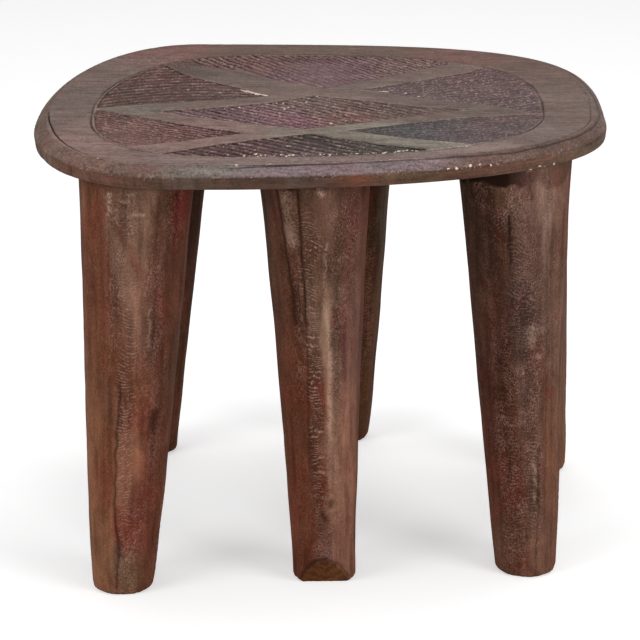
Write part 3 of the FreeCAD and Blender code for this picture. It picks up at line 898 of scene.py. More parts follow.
# from direction and height to direction and height, reach, how dark (or, below nought, how pale)
leg_strokes = {
    "front_left": (
        (-7.5, 220, -12, 142, 1.3, 0.9), (-12, 142, -13, 92, 1.3, 0.9), (-13, 92, -6, 49, 1.5, 1.0),
        (-6, 49, -8, 8, 1.3, 0.8), (-6, 54, -5, 42, 4.0, 0.8), (39, 184, 40, 170, 6.0, 0.8),
        (-22, 400, -24, 300, 1.2, 0.5), (27, 400, 30, 250, 1.2, 0.5), (-22, 404, -23, 385, 2.2, -1.2),
        (-10, 397, -3, 398, 1.5, -1.0), (0, 385, 12, 384, 1.4, -1.0), (-4, 403, 2, 405, 1.4, -0.9),
        (24, 290, 25, 255, 1.5, -0.5)),
    "front_middle": (
        (-17, 410, -15, 333, 1.5, 1.2), (-15, 333, -14, 272, 1.5, 1.1), (-14, 272, -17, 150, 1.2, 0.7),
        (-42, 408, -36, 354, 1.8, 1.1), (-36, 354, -28, 272, 1.8, 1.1), (-31, 398, -27, 352, 6.0, -0.5),
        (13, 354, 10, 295, 1.5, -0.6), (10, 295, 16, 250, 2.1, -0.8), (16, 250, 15, 168, 2.3, -0.8),
        (15, 168, 16, 107, 2.0, -0.5), (4, 410, 8, 404, 2.8, -1.3), (-3, 164, 5, 163, 1.0, -0.8),
        (-1, 137, 4, 137, 1.0, -0.9), (-3, 122, 6, 121, 1.0, -0.8), (0, 95, 6, 94, 1.2, -0.8),
        (16, 90, 15, 86, 3.0, 0.8), (0, 78, 6, 70, 2.5, 0.7), (-52, 4, -34, 18, 2.2, 0.8),
        (-34, 18, -14, 27, 2.8, 0.9), (-14, 27, 6, 30, 2.2, 0.9), (6, 29, 28, 24, 1.2, 0.8),
        (28, 24, 54, 6, 1.2, 0.8), (-45, 2, 45, 2, 1.2, 0.4), (-36, 8, -20, 14, 4.0, 0.5)),
    "front_right": (
        (13, 412, 14, 385, 1.2, 0.8), (-10, 368, -10, 322, 1.4, 1.1), (-24, 402, -17, 405, 2.4, -0.9),
        (15, 258, 22, 254, 4.0, -0.7), (18, 230, 24, 228, 3.0, -0.6), (30, 395, 34, 360, 4.0, -0.4),
        (22, 135, 22, 70, 1.3, 0.8), (22, 70, 16, 20, 1.2, 0.6), (10, 413, 14, 414, 1.3, -1.0),
        (10, 252, 14, 244, 5.0, -0.5), (12, 120, 19, 111, 1.4, -0.8), (14, 104, 21, 95, 1.4, -0.9),
        (13, 92, 17, 80, 1.2, -0.7), (-30, 300, -26, 180, 1.2, 0.5), (33, 400, 34, 60, 1.2, 0.4)),
}
back_strokes = (
    (-110, 380, -112, 180, 1.3, 0.8), (150, 300, 152, 60, 1.3, 0.8), (95, 400, 97, 300, 1.3, 0.6),
    (-165, 220, -160, 20, 1.4, 0.9), (120, 330, 121, 190, 1.6, -0.3), (-140, 360, -138, 250, 1.6, -0.3))
print("patches and strokes", sum(len(rows) for rows in [*leg_patches.values(), *leg_strokes.values()]))

# %% [markdown]
# A knife leaves long flat facets with worn ridges between them and shallow gouge hollows
# that run with the grain. Each copy of the blank is moved onto its own axis and shaped by
# these, and by its cracks and pale ridges. The foot of the front middle leg has been cut away
# in front, flat and sloping, so the cut ends in an arch. How strongly each mark falls on each
# point is kept for the finish.

# %% Shape the six legs
facet_count, facet_swing, facet_depth, sole_inset, sole_height = 11, 0.16, 0.022, 3.0, 5.0
flare, toe_turn, toe_reach, toe_slope = 2.2, 3.0, 16.0, 0.53


def facet_radius(turn, start):
    """Radius of the uneven polygon of facets, as a share, and how near its ridges are."""
    corner = np.arange(facet_count)
    corner_turn = (2 * math.pi * (corner + facet_swing * np.sin(2.0 * corner + 3.0 * start))
                   / facet_count)
    corner_out = 1 + facet_depth * np.sin(3.7 * corner + start)
    turn = (turn - start - corner_turn[0]) % (2 * math.pi) + corner_turn[0]
    first = np.clip(np.searchsorted(corner_turn, turn, side="right") - 1, 0, facet_count - 1)
    second = (first + 1) % facet_count
    end_turn = np.where(second == 0, corner_turn[0] + 2 * math.pi, corner_turn[second])
    a, b = corner_out[first], corner_out[second]
    share_a, share_b = turn - corner_turn[first], end_turn - turn
    radius = a * b * np.sin(share_a + share_b) / (a * np.sin(share_a) + b * np.sin(share_b))
    return radius, np.minimum(share_a, share_b)


def stroke_on_leg(direction, z, radius, stroke):
    """How near each point is to one listed stroke."""
    side0, height0, side1, height1, reach = stroke[:5]
    along = np.radians((direction - side0 + 180) % 360 - 180) * radius
    run, rise = np.radians(side1 - side0) * radius, height1 - height0
    share = np.clip((along * run + (z - height0) * rise) / (run ** 2 + rise ** 2), 0, 1)
    return bump_at(np.hypot(along - share * run, z - height0 - share * rise), reach)


def hidden_rows(rows, seed, places):
    """The hidden sides' shared marks, turned and lifted in another way on each leg."""
    shift = (22 * math.sin(2.4 * seed), 45 * math.sin(1.7 * seed))
    return tuple((*[row[i] + shift[i % 2] for i in range(2 * places)], *row[2 * places:]) for row in rows)


def marks_on(name, direction, z, radius):
    """Chatter, net, dark and pale strokes at each point of a leg."""
    seed = int(leg_plan[name][5] * 10)
    chatter, net, dark, pale = (np.zeros_like(z) for _ in range(4))
    strayed = direction + 3.5 * waver(z, z * 0, 70.0, seed + 5)
    patches = leg_patches.get(name, shaded_patches) + hidden_rows(back_patches, seed, 1)
    for side, height, wide, tall, jumps, threads in patches:
        apart = (strayed - side + 180) % 360 - 180
        near = np.exp(-(apart / wide) ** 4 - ((z - height) / tall) ** 4)
        chatter, net = np.maximum(chatter, jumps * near), np.maximum(net, threads * near)
    strayed = direction + 1.2 * waver(z, z * 0, 26.0, seed + 6)
    for stroke in leg_strokes.get(name, ()) + hidden_rows(back_strokes, seed, 2):
        near = stroke_on_leg(strayed, z, radius, stroke)
        dark = np.maximum(dark, stroke[5] * near)
        pale = np.maximum(pale, -stroke[5] * near)
    return chatter, net, dark, pale


def shape_leg(name):
    """One leg: the blank's points moved onto its axis, faceted, hollowed and cracked."""
    piece = blank.copy()
    piece.data = blank.data.copy()
    piece.name = "carved_leg_" + name
    bpy.context.collection.objects.link(piece)
    x, y, z = read_points(piece.data)
    foot_size, neck_size, fullness, start = leg_plan[name][2:]
    seed = int(start * 10)
    body = np.hypot(x, y) > tenon_radius + 2
    share, turn = np.clip(z / underside, 0, 1), np.arctan2(y, x)
    radius = foot_radius * foot_size
    radius = radius + (neck_radius * neck_size - radius) * share ** fullness
    radius = radius + flare * np.exp((np.minimum(z, underside) - underside) / 32.0)
    direction = np.degrees(np.arctan2(np.cos(turn), -np.sin(turn)))
    chatter, net, dark, pale = marks_on(name, direction, z, radius)
    drift = 0.05 * waver(z, z * 0, 230.0, seed) * np.sin(share * math.pi)
    facets, to_ridge = facet_radius(turn + drift, start)
    ridge = bump_at(to_ridge, 0.05)
    gouge = np.clip(waver(turn * 48.0, z * 0.10, 15.0, seed + 1) - 0.15, 0, 1)
    cut_in = (0.35 * (1 + waver(turn * 40.0, z * 0.5, 55.0, seed + 3)) + 0.6 * gouge + 0.9 * ridge
              + 0.8 * dark - 0.3 * pale + 0.25 * net * (1 + waver(turn * radius, z, 7.0, seed + 4)))
    radius = radius * (0.7 * facets + 0.3 * 0.985) - cut_in
    sole = np.clip(1 - (1 - np.clip(z / sole_height, 0, 1)) ** 2, 0, 1)
    radius = radius - sole_inset * (1 - np.sqrt(sole))
    off_toe = np.radians(direction - toe_turn)
    toe = toe_reach + toe_slope * z + 0.5 * waver(turn * 30, z, 12.0, seed + 9)
    toe = toe / np.maximum(np.cos(off_toe), 0.05)
    worn = np.clip(radius - toe, 0, None) * body * (name == "front_middle")
    radius = radius - worn
    centre, neck_place = axis_at(name, share), axis_at(name, 1.0)
    moved_x = np.where(body, centre[:, 0] + radius * np.cos(turn), neck_place[0] + x)
    moved_y = np.where(body, centre[:, 1] + radius * np.sin(turn), neck_place[1] + y)
    write_points(piece.data, np.array([moved_x, moved_y, z]))
    arc = 2.4 * np.cos(turn * radius / 5.5) + 3 * waver(z, z * 0, 50.0, seed)
    return piece, {"direction": direction, "z": z, "gouge": gouge, "ridge": ridge, "chatter": chatter,
                   "net": net, "dark": dark, "pale": pale, "arc": arc, "seed": seed, "worn": worn}


legs, marks = {}, {}
for name in leg_plan:
    legs[name], marks[name] = shape_leg(name)
    print("leg", name, len(legs[name].data.polygons), "faces")
bpy.data.objects.remove(blank)

# %% [markdown]
# The legs are redder than the seat, and each has its own colours. They are laid in dabs, like
# the seat's dyes, by direction, height and reach. The back legs are dyed darker, as painted
# shade from the seat and the front legs. Right under the slab, where no hand rubs, the wood is
# painted darker still: a dark joint, and below it painted shade cast by the slab.

# %% Dyes for the legs
russet, red_brown, rust, warm_brown = dye(100, 53, 39), dye(95, 53, 39), dye(91, 42, 25), dye(110, 67, 49)
worn_grey, olive_grey, blood = dye(110, 81, 67), dye(100, 76, 62), dye(112, 44, 40)
shade_brown, dusky, old_olive = dye(58, 35, 25), dye(80, 53, 42), dye(54, 39, 26)
rose, pink_grey, olive_fawn = dye(108, 58, 57), dye(125, 93, 82), dye(104, 77, 57)
claret, chestnut = dye(89, 46, 37), dye(76, 40, 29)
# direction, height, reach round, reach up, dye
leg_dabs = {
    "front_left": (
        (-60, 340, 30, 110, dye(90, 53, 37)), (-62, 110, 30, 120, dye(120, 80, 58)),
        (-54, 392, 10, 16, dye(128, 90, 70)), (26, 394, 8, 16, dye(80, 52, 40)),
        (26, 272, 8, 22, dye(84, 54, 42)), (-48, 380, 8, 26, rust), (-30, 330, 7, 30, dye(90, 46, 28)),
        (-30, 210, 8, 60, dye(90, 46, 28)), (-29, 120, 8, 30, rust), (-6, 355, 18, 50, dye(110, 82, 67)),
        (8, 390, 10, 20, dye(124, 94, 78)), (8, 286, 10, 26, dye(146, 106, 88)),
        (-10, 240, 12, 40, dye(98, 58, 42)), (8, 200, 10, 30, dye(106, 62, 44)),
        (8, 150, 9, 24, dye(138, 90, 70)), (8, 115, 10, 24, dye(142, 94, 74)),
        (10, 70, 12, 22, dye(122, 62, 46)), (12, 22, 22, 20, olive_fawn),
        (27, 180, 8, 40, dye(112, 62, 46)), (38, 315, 10, 24, dye(102, 66, 52)),
        (42, 352, 10, 20, dye(82, 52, 40)), (57, 383, 10, 30, blood), (45, 200, 12, 60, dye(88, 38, 24)),
        (42, 100, 14, 60, claret), (62, 346, 9, 20, dye(62, 36, 24)), (62, 250, 10, 80, dye(78, 45, 30)),
        (62, 90, 10, 50, dye(78, 38, 22)), (35, 60, 12, 30, russet)),
    "front_middle": (
        (-58, 330, 18, 90, dye(86, 54, 40)), (-52, 120, 28, 120, dye(88, 44, 26)),
        (-30, 385, 8, 40, dye(88, 60, 46)), (-27, 290, 8, 50, dye(78, 45, 30)),
        (-10, 345, 10, 26, dye(84, 57, 44)), (-6, 290, 9, 30, olive_grey),
        (-6, 190, 10, 40, dye(88, 50, 36)), (4, 228, 8, 14, dye(88, 58, 46)),
        (-20, 130, 14, 40, dye(78, 32, 14)), (14, 378, 10, 16, dye(100, 72, 60)),
        (14, 345, 9, 20, dye(78, 54, 42)), (13, 262, 5, 34, dye(150, 118, 98)),
        (16, 190, 5, 40, dye(136, 104, 86)), (26, 345, 8, 26, dye(78, 54, 42)),
        (26, 250, 8, 60, olive_grey), (39, 275, 5, 50, rose), (55, 345, 14, 40, dye(88, 56, 48)),
        (55, 250, 16, 60, dye(112, 80, 70)), (25, 140, 14, 40, dye(144, 104, 86)),
        (50, 120, 18, 70, dye(134, 92, 76)), (-10, 90, 14, 60, dye(92, 46, 30)),
        (4, 42, 12, 16, dye(112, 76, 66)), (-38, 60, 14, 60, dye(92, 44, 27)),
        (50, 40, 16, 26, dye(118, 82, 66))),
    "front_right": (
        (-62, 330, 28, 120, dye(62, 40, 30)), (-45, 396, 16, 12, dye(64, 40, 26)),
        (-16, 388, 9, 14, dye(104, 76, 62)), (-35, 345, 16, 40, dye(46, 29, 19)),
        (-44, 260, 14, 50, dye(66, 32, 22)), (-52, 150, 12, 40, dye(70, 34, 26)),
        (-30, 190, 12, 50, dye(58, 32, 22)), (-14, 340, 8, 30, dye(66, 40, 30)),
        (0, 384, 12, 20, dye(100, 74, 66)), (4, 330, 10, 30, dye(84, 62, 54)),
        (18, 348, 7, 16, dye(78, 50, 46)), (0, 262, 10, 34, dye(60, 42, 36)),
        (14, 262, 8, 30, dye(68, 48, 42)), (10, 200, 12, 40, dye(84, 60, 52)), (12, 246, 6, 8, pink_grey),
        (34, 365, 12, 34, dye(138, 110, 98)), (40, 290, 16, 50, dye(98, 74, 66)),
        (58, 250, 14, 110, dye(112, 86, 70)), (62, 380, 10, 30, dye(116, 92, 78)),
        (-55, 90, 24, 80, dye(76, 46, 32)), (-18, 110, 14, 70, dye(78, 44, 30)),
        (18, 110, 12, 60, dye(90, 62, 50)), (52, 90, 16, 60, dye(96, 64, 50)),
        (30, 40, 24, 26, dye(110, 78, 64)), (-60, 40, 14, 30, dye(104, 74, 58)),
        (-8, 30, 16, 24, dye(88, 56, 42))),
    # back legs: the dark dyes here are painted shade, as the seat and the front legs shade them
    "back_left": (
        (60, 330, 26, 90, dye(42, 31, 14)), (60, 110, 26, 100, dye(84, 50, 32)),
        (88, 230, 14, 160, dye(70, 58, 32)), (20, 200, 30, 200, shade_brown)),
    "back_middle": (
        (40, 330, 22, 100, dye(46, 33, 16)), (74, 330, 12, 110, dye(88, 74, 46)),
        (50, 130, 26, 110, dye(82, 50, 28)), (0, 200, 30, 200, shade_brown)),
    "back_right": (
        (66, 120, 26, 200, dye(120, 88, 62)), (30, 200, 30, 200, dusky)),
}
back_dabs = (
    (-120, 300, 40, 110, old_olive), (-150, 120, 40, 110, warm_brown), (180, 330, 40, 90, red_brown),
    (150, 160, 40, 100, dusky), (120, 330, 40, 90, russet), (110, 90, 40, 90, warm_brown),
    (-95, 60, 30, 60, russet), (-100, 220, 30, 80, red_brown), (90, 240, 30, 90, dusky))
shaded_dabs = (
    (-60, 300, 45, 140, old_olive), (0, 330, 35, 100, old_olive), (55, 320, 35, 120, old_olive),
    (-50, 100, 40, 110, dusky), (10, 160, 30, 120, shade_brown), (60, 110, 35, 110, chestnut),
    (20, 30, 40, 40, chestnut))


def paint_leg(name):
    mark = marks[name]
    seed, z = mark["seed"], mark["z"]
    strayed = mark["direction"] + 5 * waver(mark["direction"], z * 0.4, 45.0, seed + 8)
    total, weight = 0.0, 1e-12
    for side, height, wide, tall, colour in leg_dabs.get(name, shaded_dabs) + hidden_rows(back_dabs, seed, 1):
        apart = (strayed - side + 180) % 360 - 180
        near = np.exp(-(apart / wide) ** 2 - ((z - height) / tall) ** 2) + 1e-9
        total, weight = total + near[:, None] * colour, weight + near
    # painted shade: the leg's top is darkened under the slab, and the dark joint band reaches down as far as
    # the slab overhangs the leg
    under_slab = soft_step((z - underside + 13) / 12)
    reach = {"front_left": 3.5, "front_middle": 9.0, "front_right": 20.0}.get(name, 8.0)
    ragged = reach * (1 + 0.3 * waver(strayed, z, 30.0, seed + 12))
    joint_and_shade = soft_step((z - underside + ragged) / 3.0) * (0.4 + 0.6 * soft_step((20 - mark["direction"]) / 40))
    dark = np.maximum.reduce([mark["dark"], 0.45 * mark["gouge"], 0.5 * under_slab, 1.2 * joint_and_shade])
    pale = np.maximum(mark["pale"], 0.06 * mark["ridge"])
    end_grain = np.maximum((z < 0.3) * 1.0, 0.95 * soft_step(mark["worn"] / 1.2))
    keep_colour(legs[name].data, "dye", total / weight[:, None])
    # red: cracks, gouges, dark joint and painted shade; green: pale marks; blue: end grain
    keep_colour(legs[name].data, "wear_and_painted_light", dark, pale, end_grain)
    keep_colour(legs[name].data, "tool", mark["chatter"], mark["arc"], mark["net"])


for name in legs:
    paint_leg(name)
print("dyed", len(legs), "legs")

# %% [markdown]
# Smooth shading hides the small triangles, but a real edge has to stay an edge. Shading by
# angle keeps the arris, the field edges and the bottoms of the grooves crisp.

# %% Shade by angle
for piece, angle in [(seat, 32)] + [(leg, 40) for leg in legs.values()]:
    only(piece)
    bpy.ops.object.shade_smooth_by_angle(angle=math.radians(angle))
print("triangles", sum(len(piece.data.polygons) for piece in [seat, *legs.values()]))

# %% [markdown]
# Finishes are built as shader nodes. Reading them is easier as sums, so one small
# class wraps a socket: adding or multiplying two wires puts in a Math node. Every other node comes
# from one method, which takes its type, its settings and what feeds its sockets.

# %% A wire and a finish
class Wire:
    """One output of a node, which can be added to and multiplied."""

    def __init__(self, finish, socket):
        self.finish, self.socket = finish, socket

    def math(self, operation, first, second):
        return self.finish.add("ShaderNodeMath", {"operation": operation}, {0: first, 1: second})

    def __add__(self, other):
        return self.math("ADD", self, other)

    def __sub__(self, other):
        return self.math("SUBTRACT", self, other)

    def __mul__(self, other):
        return self.math("MULTIPLY", self, other)

    def __rsub__(self, other):
        return self.math("SUBTRACT", other, self)

    __radd__, __rmul__ = __add__, __mul__


class Finish:
    """A material in the making."""

    def __init__(self, name):
        self.material = bpy.data.materials.new(name)
        self.material.use_nodes = True
        self.tree = self.material.node_tree
        self.tree.nodes.clear()

    def add(self, kind, settings=None, sockets=None, output=0):
        """Put in a node: its settings first, then values or wires on its sockets."""
        node = self.tree.nodes.new(kind)
        for setting, value in (settings or {}).items():
            setattr(node, setting, value)
        for key, value in (sockets or {}).items():
            if isinstance(value, Wire):
                self.tree.links.new(value.socket, node.inputs[key])
            else:
                node.inputs[key].default_value = value
        return Wire(self, node.outputs[output])

    def place(self):
        return self.add("ShaderNodeTexCoord", output="Object")

    def attribute(self, name):
        return self.add("ShaderNodeAttribute", {"attribute_name": name}, output="Color")

    def masks(self, name):
        """The three masks kept in one colour attribute."""
        parted = self.add("ShaderNodeSeparateColor", None, {"Color": self.attribute(name)})
        return [Wire(self, socket) for socket in parted.socket.node.outputs]

    def noise(self, scale, stretch=(1.0, 1.0, 1.0), detail=3.0, rough=0.55, warp=0.0):
        """Noise on the object's own coordinates, so many hills to the metre."""
        laid = self.add("ShaderNodeMapping", None, {"Vector": self.place(), "Scale": stretch})
        return self.add("ShaderNodeTexNoise", None, {
            "Vector": laid, "Scale": scale, "Detail": detail, "Roughness": rough, "Distortion": warp})

    def between(self, value, low, high, start=0.0, end=1.0):
        """Map a range onto another with a soft step, and hold it there."""
        return self.add("ShaderNodeMapRange", {"interpolation_type": "SMOOTHSTEP"}, {
            "Value": value, "From Min": low, "From Max": high, "To Min": start, "To Max": end})

    def mix(self, share, first, second, blend="MIX"):
        """Mix two colours."""
        return self.add("ShaderNodeMix", {"data_type": "RGBA", "blend_type": blend},
                        {0: share, 6: first, 7: second}, 2)

    def brighten(self, colour, amount):
        """Scale a colour by a number."""
        return self.add("ShaderNodeVectorMath", {"operation": "SCALE"}, {0: colour, "Scale": amount})

    def finish(self, colour, roughness, height, distance, strength=1.0, **plain):
        """Bump, shader and output."""
        bump = self.add("ShaderNodeBump", None, {
            "Height": height, "Distance": distance, "Strength": strength})
        sockets = {"Base Color": colour, "Roughness": roughness, "Normal": bump, **plain}
        shader = self.add("ShaderNodeBsdfPrincipled", None, sockets)
        self.add_output(shader)
        return self.material

    def add_output(self, shader):
        end = self.tree.nodes.new("ShaderNodeOutputMaterial")
        self.tree.links.new(shader.socket, end.inputs["Surface"])


def rgba(colour):
    return (*[float(value) for value in colour], 1.0)


# %% [markdown]
# The slab's wood: fine grain runs along its length, over the blotches where dye soaked in
# unevenly. Dirt and old wax, with painted shade, darken the bottoms of the cuts. Rubbing, with
# painted highlight, has turned the ridges pale, painted glints fleck the sharpest ridges, and
# here and there the dye has flaked off down to bare wood.

# %% Finish of the seat
dirt_and_shade_colour, ridge_wear_and_highlight, glint_colour = dye(34, 24, 22), dye(180, 148, 140), dye(212, 186, 178)
pale_lip_colour, pale_dust = dye(176, 146, 138), dye(176, 150, 142)
side_warmth = (1.04, 0.91, 0.80, 1.0)
top = Finish("dyed_carved_top")
dirt_and_shade, crest_wear_and_highlight, knocked = top.masks("wear_and_painted_light")
dusted, rim_frost, carved = top.masks("dust")
row, along, bitten = top.masks("rows")
side_zone, bevel_zone, vivid = top.masks("zone")
grain = top.noise(15.0, (1.0, 8.0, 8.0), 5.0, 0.62, 0.6)
fibre = top.noise(34.0, (1.0, 14.0, 14.0), 4.0, 0.7, 0.3)
blotch = top.noise(26.0, (1.0, 1.3, 1.0), 5.0, 0.66, 0.8)
speck = top.noise(480.0, (1.0, 0.6, 1.0), 2.0, 0.65)
flake = top.noise(340.0, (1.0, 0.5, 1.0), 3.0, 0.7)
pores = top.between(top.noise(80.0, (1.0, 10.0, 10.0), 2.0, 0.5), 0.58, 0.66)
tone = 1.0 + 1.2 * (grain - 0.5) + 1.1 * (fibre - 0.5) + 1.0 * (blotch - 0.5) + 1.2 * (speck - 0.5)
streak = top.noise(16.0, (1.0, 1.0, 16.0), 5.0, 0.68, 0.4)
tone = tone + side_zone * 2.0 * (streak - 0.5) + bevel_zone * 0.8 * (streak - 0.5)
tone = tone + (carved * 0.9 + bevel_zone * 0.6) * (speck - 0.5)
wood = top.brighten(top.attribute("dye"), tone)
wood = top.mix(side_zone, wood, side_warmth, "MULTIPLY")
redness = top.between(top.noise(38.0, (1.0, 1.8, 1.0), 4.0, 0.6), 0.50, 0.66)
wood = top.mix(redness * 0.30, wood, rgba(maroon))
greenness = top.between(top.noise(21.0, (1.0, 1.8, 1.0), 3.0, 0.6), 0.54, 0.70)
wood = top.mix(greenness * (1.0 - carved) * 0.18, wood, rgba(green_grey))
wood = top.mix(pores * 0.40, wood, rgba(black_brown))

# each groove's own dark line of dirt and painted shade, and the broken ridge beside it, pale with wear and
# painted highlight
jitter = row + 0.5 * (flake - 0.5) + 0.25 * (speck - 0.5) + 0.5 * (blotch - 0.5)
fall = top.add("ShaderNodeMath", {"operation": "PINGPONG"}, {0: jitter, 1: 0.5})
line = top.between(fall, 0.28, 0.44) * bitten
whole = top.add("ShaderNodeMath", {"operation": "ROUND"}, {0: row})
laid = top.add("ShaderNodeCombineXYZ", None, {0: along, 1: whole * 0.37, 2: 0.0})
dash = top.add("ShaderNodeTexNoise", None, {
    "Vector": laid, "Scale": 110.0, "Detail": 3.0, "Roughness": 0.65})
proud = top.between(fall, 0.24, 0.06) * top.between(dash, 0.44, 0.60) * (0.25 + 0.75 * bitten) * carved
proud = proud * (0.55 + 0.45 * vivid) * top.between(flake + 0.6 * (blotch - 0.5), 0.36, 0.50, 0.35, 1.0)
# dirt and painted shade: the hollows and each groove's own line turn dark
grime_and_shade = dirt_and_shade * (1.0 - carved) + top.add("ShaderNodeMath", {"operation": "MAXIMUM"}, {
    0: line * (0.8 + 0.3 * vivid), 1: dirt_and_shade * 0.8}) * carved
wood = top.mix(grime_and_shade * (0.66 + 0.5 * blotch), wood, rgba(dirt_and_shade_colour))
# ridges pale with wear and painted highlight
wood = top.mix(proud * 0.85, wood, rgba(ridge_wear_and_highlight))
# painted glints on the sharp ridges
painted_glint = vivid * carved * top.between(flake + 0.3 * (speck - 0.5) + 0.12 * proud, 0.65, 0.73)
wood = top.mix(painted_glint * 0.8, wood, rgba(glint_colour))
# lips and field edges pale with wear and painted highlight
rubbed_and_highlit = crest_wear_and_highlight * (1.0 - carved) * top.between(flake + 0.4 * (blotch - 0.5), 0.40, 0.58)
wood = top.mix(rubbed_and_highlit * 0.60, wood, rgba(pale_lip_colour))
dots = top.between(flake + 0.5 * (speck - 0.5), 0.56, 0.64)
wood = top.mix(dots * (dusted * 0.50 + rim_frost * 0.55), wood, rgba(pale_dust))
chipped = top.between(flake + 0.64 * knocked, 0.82, 0.92) * top.between(knocked, 0.05, 0.4)
wood = top.mix(chipped, wood, rgba(bare_wood))
gloss = 0.62 + 0.3 * (blotch - 0.5) + 0.3 * (fibre - 0.5) + 0.14 * grime_and_shade
relief = (0.45 * grain + 0.45 * fibre + 0.5 * speck + 0.3 * blotch - 0.4 * pores + 0.4 * proud
          - 0.6 * line)
top_finish = top.finish(wood, gloss, relief, 0.0008, 0.9, **{"Specular IOR Level": 0.22})
print("seat finish", len(top.tree.nodes), "nodes")

# %% [markdown]
# The legs' grain runs up and down. Short level ticks, a little bowed, fill the chattered
# patches, and where the dye has worn to a net, pale threads curl round dark pits. Both come from
# noise and a wave of the height, and the masks say where they show. Strokes listed
# for each leg give its cracks and pale ridges, the dark mask also holds the painted shade under
# the slab, and the soles show rings of end grain.

# %% Finish of the legs
thread_pale, tick_pale, ridge_pale = dye(188, 150, 136), dye(176, 140, 124), dye(178, 146, 130)
pit_dark, gap_dark, crack_and_shade_dark = dye(50, 28, 18), dye(48, 28, 20), dye(40, 24, 18)
late_ring, early_ring, faded = dye(92, 54, 28), dye(128, 80, 46), dye(88, 63, 48)
leg_warmth, heart = (1.02, 1.0, 0.96, 1.0), (0.004, -0.16, 0.055)
# ticks and rings, in radians to the metre
tick_pace, ring_pace = 1950.0, 1150.0
side = Finish("dyed_carved_legs")
dark, pale, end_grain = side.masks("wear_and_painted_light")
chatter, arc, net = side.masks("tool")
grain = side.noise(14.0, (15.0, 15.0, 1.0), 5.0, 0.64, 0.6)
fibre = side.noise(36.0, (20.0, 20.0, 1.0), 3.0, 0.7)
blotch = side.noise(30.0, (1.5, 1.5, 1.0), 6.0, 0.70, 0.6)
speck = side.noise(520.0, (1.0, 1.0, 0.8), 2.0, 0.65)
patch = side.noise(15.0, (1.8, 1.8, 1.0), 4.0, 0.6, 0.5)
curl = side.noise(520.0, (1.0, 1.0, 0.8), 1.5, 0.5, 0.8)
dashes = side.noise(100.0, (1.0, 1.0, 3.0), 3.0, 0.6)
thread = side.between(side.add("ShaderNodeMath", {"operation": "ABSOLUTE"}, {0: curl - 0.5}),
                      0.0, 0.07, 1.0, 0.0) * side.between(speck + 0.8 * (blotch - 0.5), 0.44, 0.56)
pit = side.between(curl + 0.5 * (speck - 0.5), 0.57, 0.65)
height = side.add("ShaderNodeSeparateXYZ", None, {0: side.place()}, 2)
wave = side.add("ShaderNodeMath", {"operation": "SINE"}, {
    0: height * tick_pace + arc * 1.9 + 34.0 * (patch - 0.5) + 13.0 * (blotch - 0.5)})
tick = side.between(wave, 0.0, 0.9) * side.between(dashes + 0.6 * (speck - 0.5), 0.43, 0.56)
tone = 1.10 + 0.8 * (grain - 0.5) + 1.5 * (blotch - 0.5) + 0.7 * (fibre - 0.5)
tone = tone + (1.1 + 0.9 * net) * (speck - 0.5)
wood = side.brighten(side.attribute("dye"), tone)
wood = side.mix(1.0, wood, leg_warmth, "MULTIPLY")
wood = side.mix(side.between(patch, 0.52, 0.66) * 0.35, wood, rgba(blood))
wood = side.mix(side.between(patch, 0.47, 0.36) * 0.30, wood, rgba(faded))
wood = side.mix(side.between(blotch, 0.54, 0.66) * net * 0.35, wood, rgba(worn_grey))
fade = side.between(patch + 0.5 * (blotch - 0.5), 0.40, 0.60, 0.35, 1.0)
wood = side.mix(thread * (net * fade * 0.62 + 0.12), wood, rgba(thread_pale))
wood = side.mix(pit * (net * 0.42 + 0.20), wood, rgba(pit_dark))
wood = side.mix(tick * chatter * 0.66, wood, rgba(tick_pale))
wood = side.mix((1.0 - tick) * chatter * 0.28, wood, rgba(gap_dark))
wood = side.mix(pale * side.between(speck + 0.6 * (blotch - 0.5), 0.34, 0.56) * 0.8, wood,
                rgba(ridge_pale))
# cracks, gouges, the dark joint and painted shade under the slab
wood = side.mix(dark * (0.55 + 0.6 * blotch), wood, rgba(crack_and_shade_dark))
rings = side.add("ShaderNodeVectorMath", {"operation": "DISTANCE"}, {
    0: side.place(), 1: heart}, "Value")
ring_wave = side.add("ShaderNodeMath", {"operation": "SINE"}, {
    0: rings * ring_pace + 30.0 * blotch + 16.0 * patch})
cut_end = side.mix(side.between(ring_wave, -1.0, 1.0) * 0.6, rgba(late_ring), rgba(early_ring))
cut_end = side.brighten(cut_end, 0.2 + 1.3 * blotch + 0.6 * (speck - 0.5))
wood = side.mix(end_grain * (1.0 - 0.7 * dark), wood, cut_end)
gloss = 0.56 + 0.4 * (blotch - 0.5) + 0.12 * net + 0.12 * dark
relief = (0.4 * grain + 0.3 * fibre + 0.2 * speck + 0.25 * blotch + 0.4 * net * (thread - pit)
          + 0.5 * chatter * tick)
leg_finish = side.finish(wood, gloss, relief, 0.0011, 0.9, **{"Specular IOR Level": 0.03})
print("leg finish", len(side.tree.nodes), "nodes")

# %% [markdown]
# The hidden wedges are split from clean pale wood and never dyed. They stay the packed
# model's own pieces and only take a finish: straight grain up and down, with thin late-wood lines.

# %% Finish of the wedges
early_wood, late_wood = dye(196, 160, 118), dye(150, 108, 70)
chip = Finish("bare_wedge_wood")
grain = chip.noise(30.0, (12.0, 12.0, 1.0), 4.0, 0.6, 0.5)
fibre = chip.noise(90.0, (14.0, 14.0, 1.0), 2.0, 0.6)
late = chip.between(grain, 0.52, 0.60)
wood = chip.mix(late * 0.5, rgba(early_wood), rgba(late_wood))
wood = chip.brighten(wood, 0.86 + 0.28 * fibre)
wedge_finish = chip.finish(wood, 0.62 + 0.1 * fibre, grain + 0.5 * fibre, 0.0002, 0.8)
for name in leg_plan:
    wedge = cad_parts["wedge_" + name]
    wedge.data.materials.clear()
    wedge.data.materials.append(wedge_finish)

# %% [markdown]
# Every piece is glued up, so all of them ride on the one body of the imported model, and the
# carved slab and legs take the place of the plain ones.

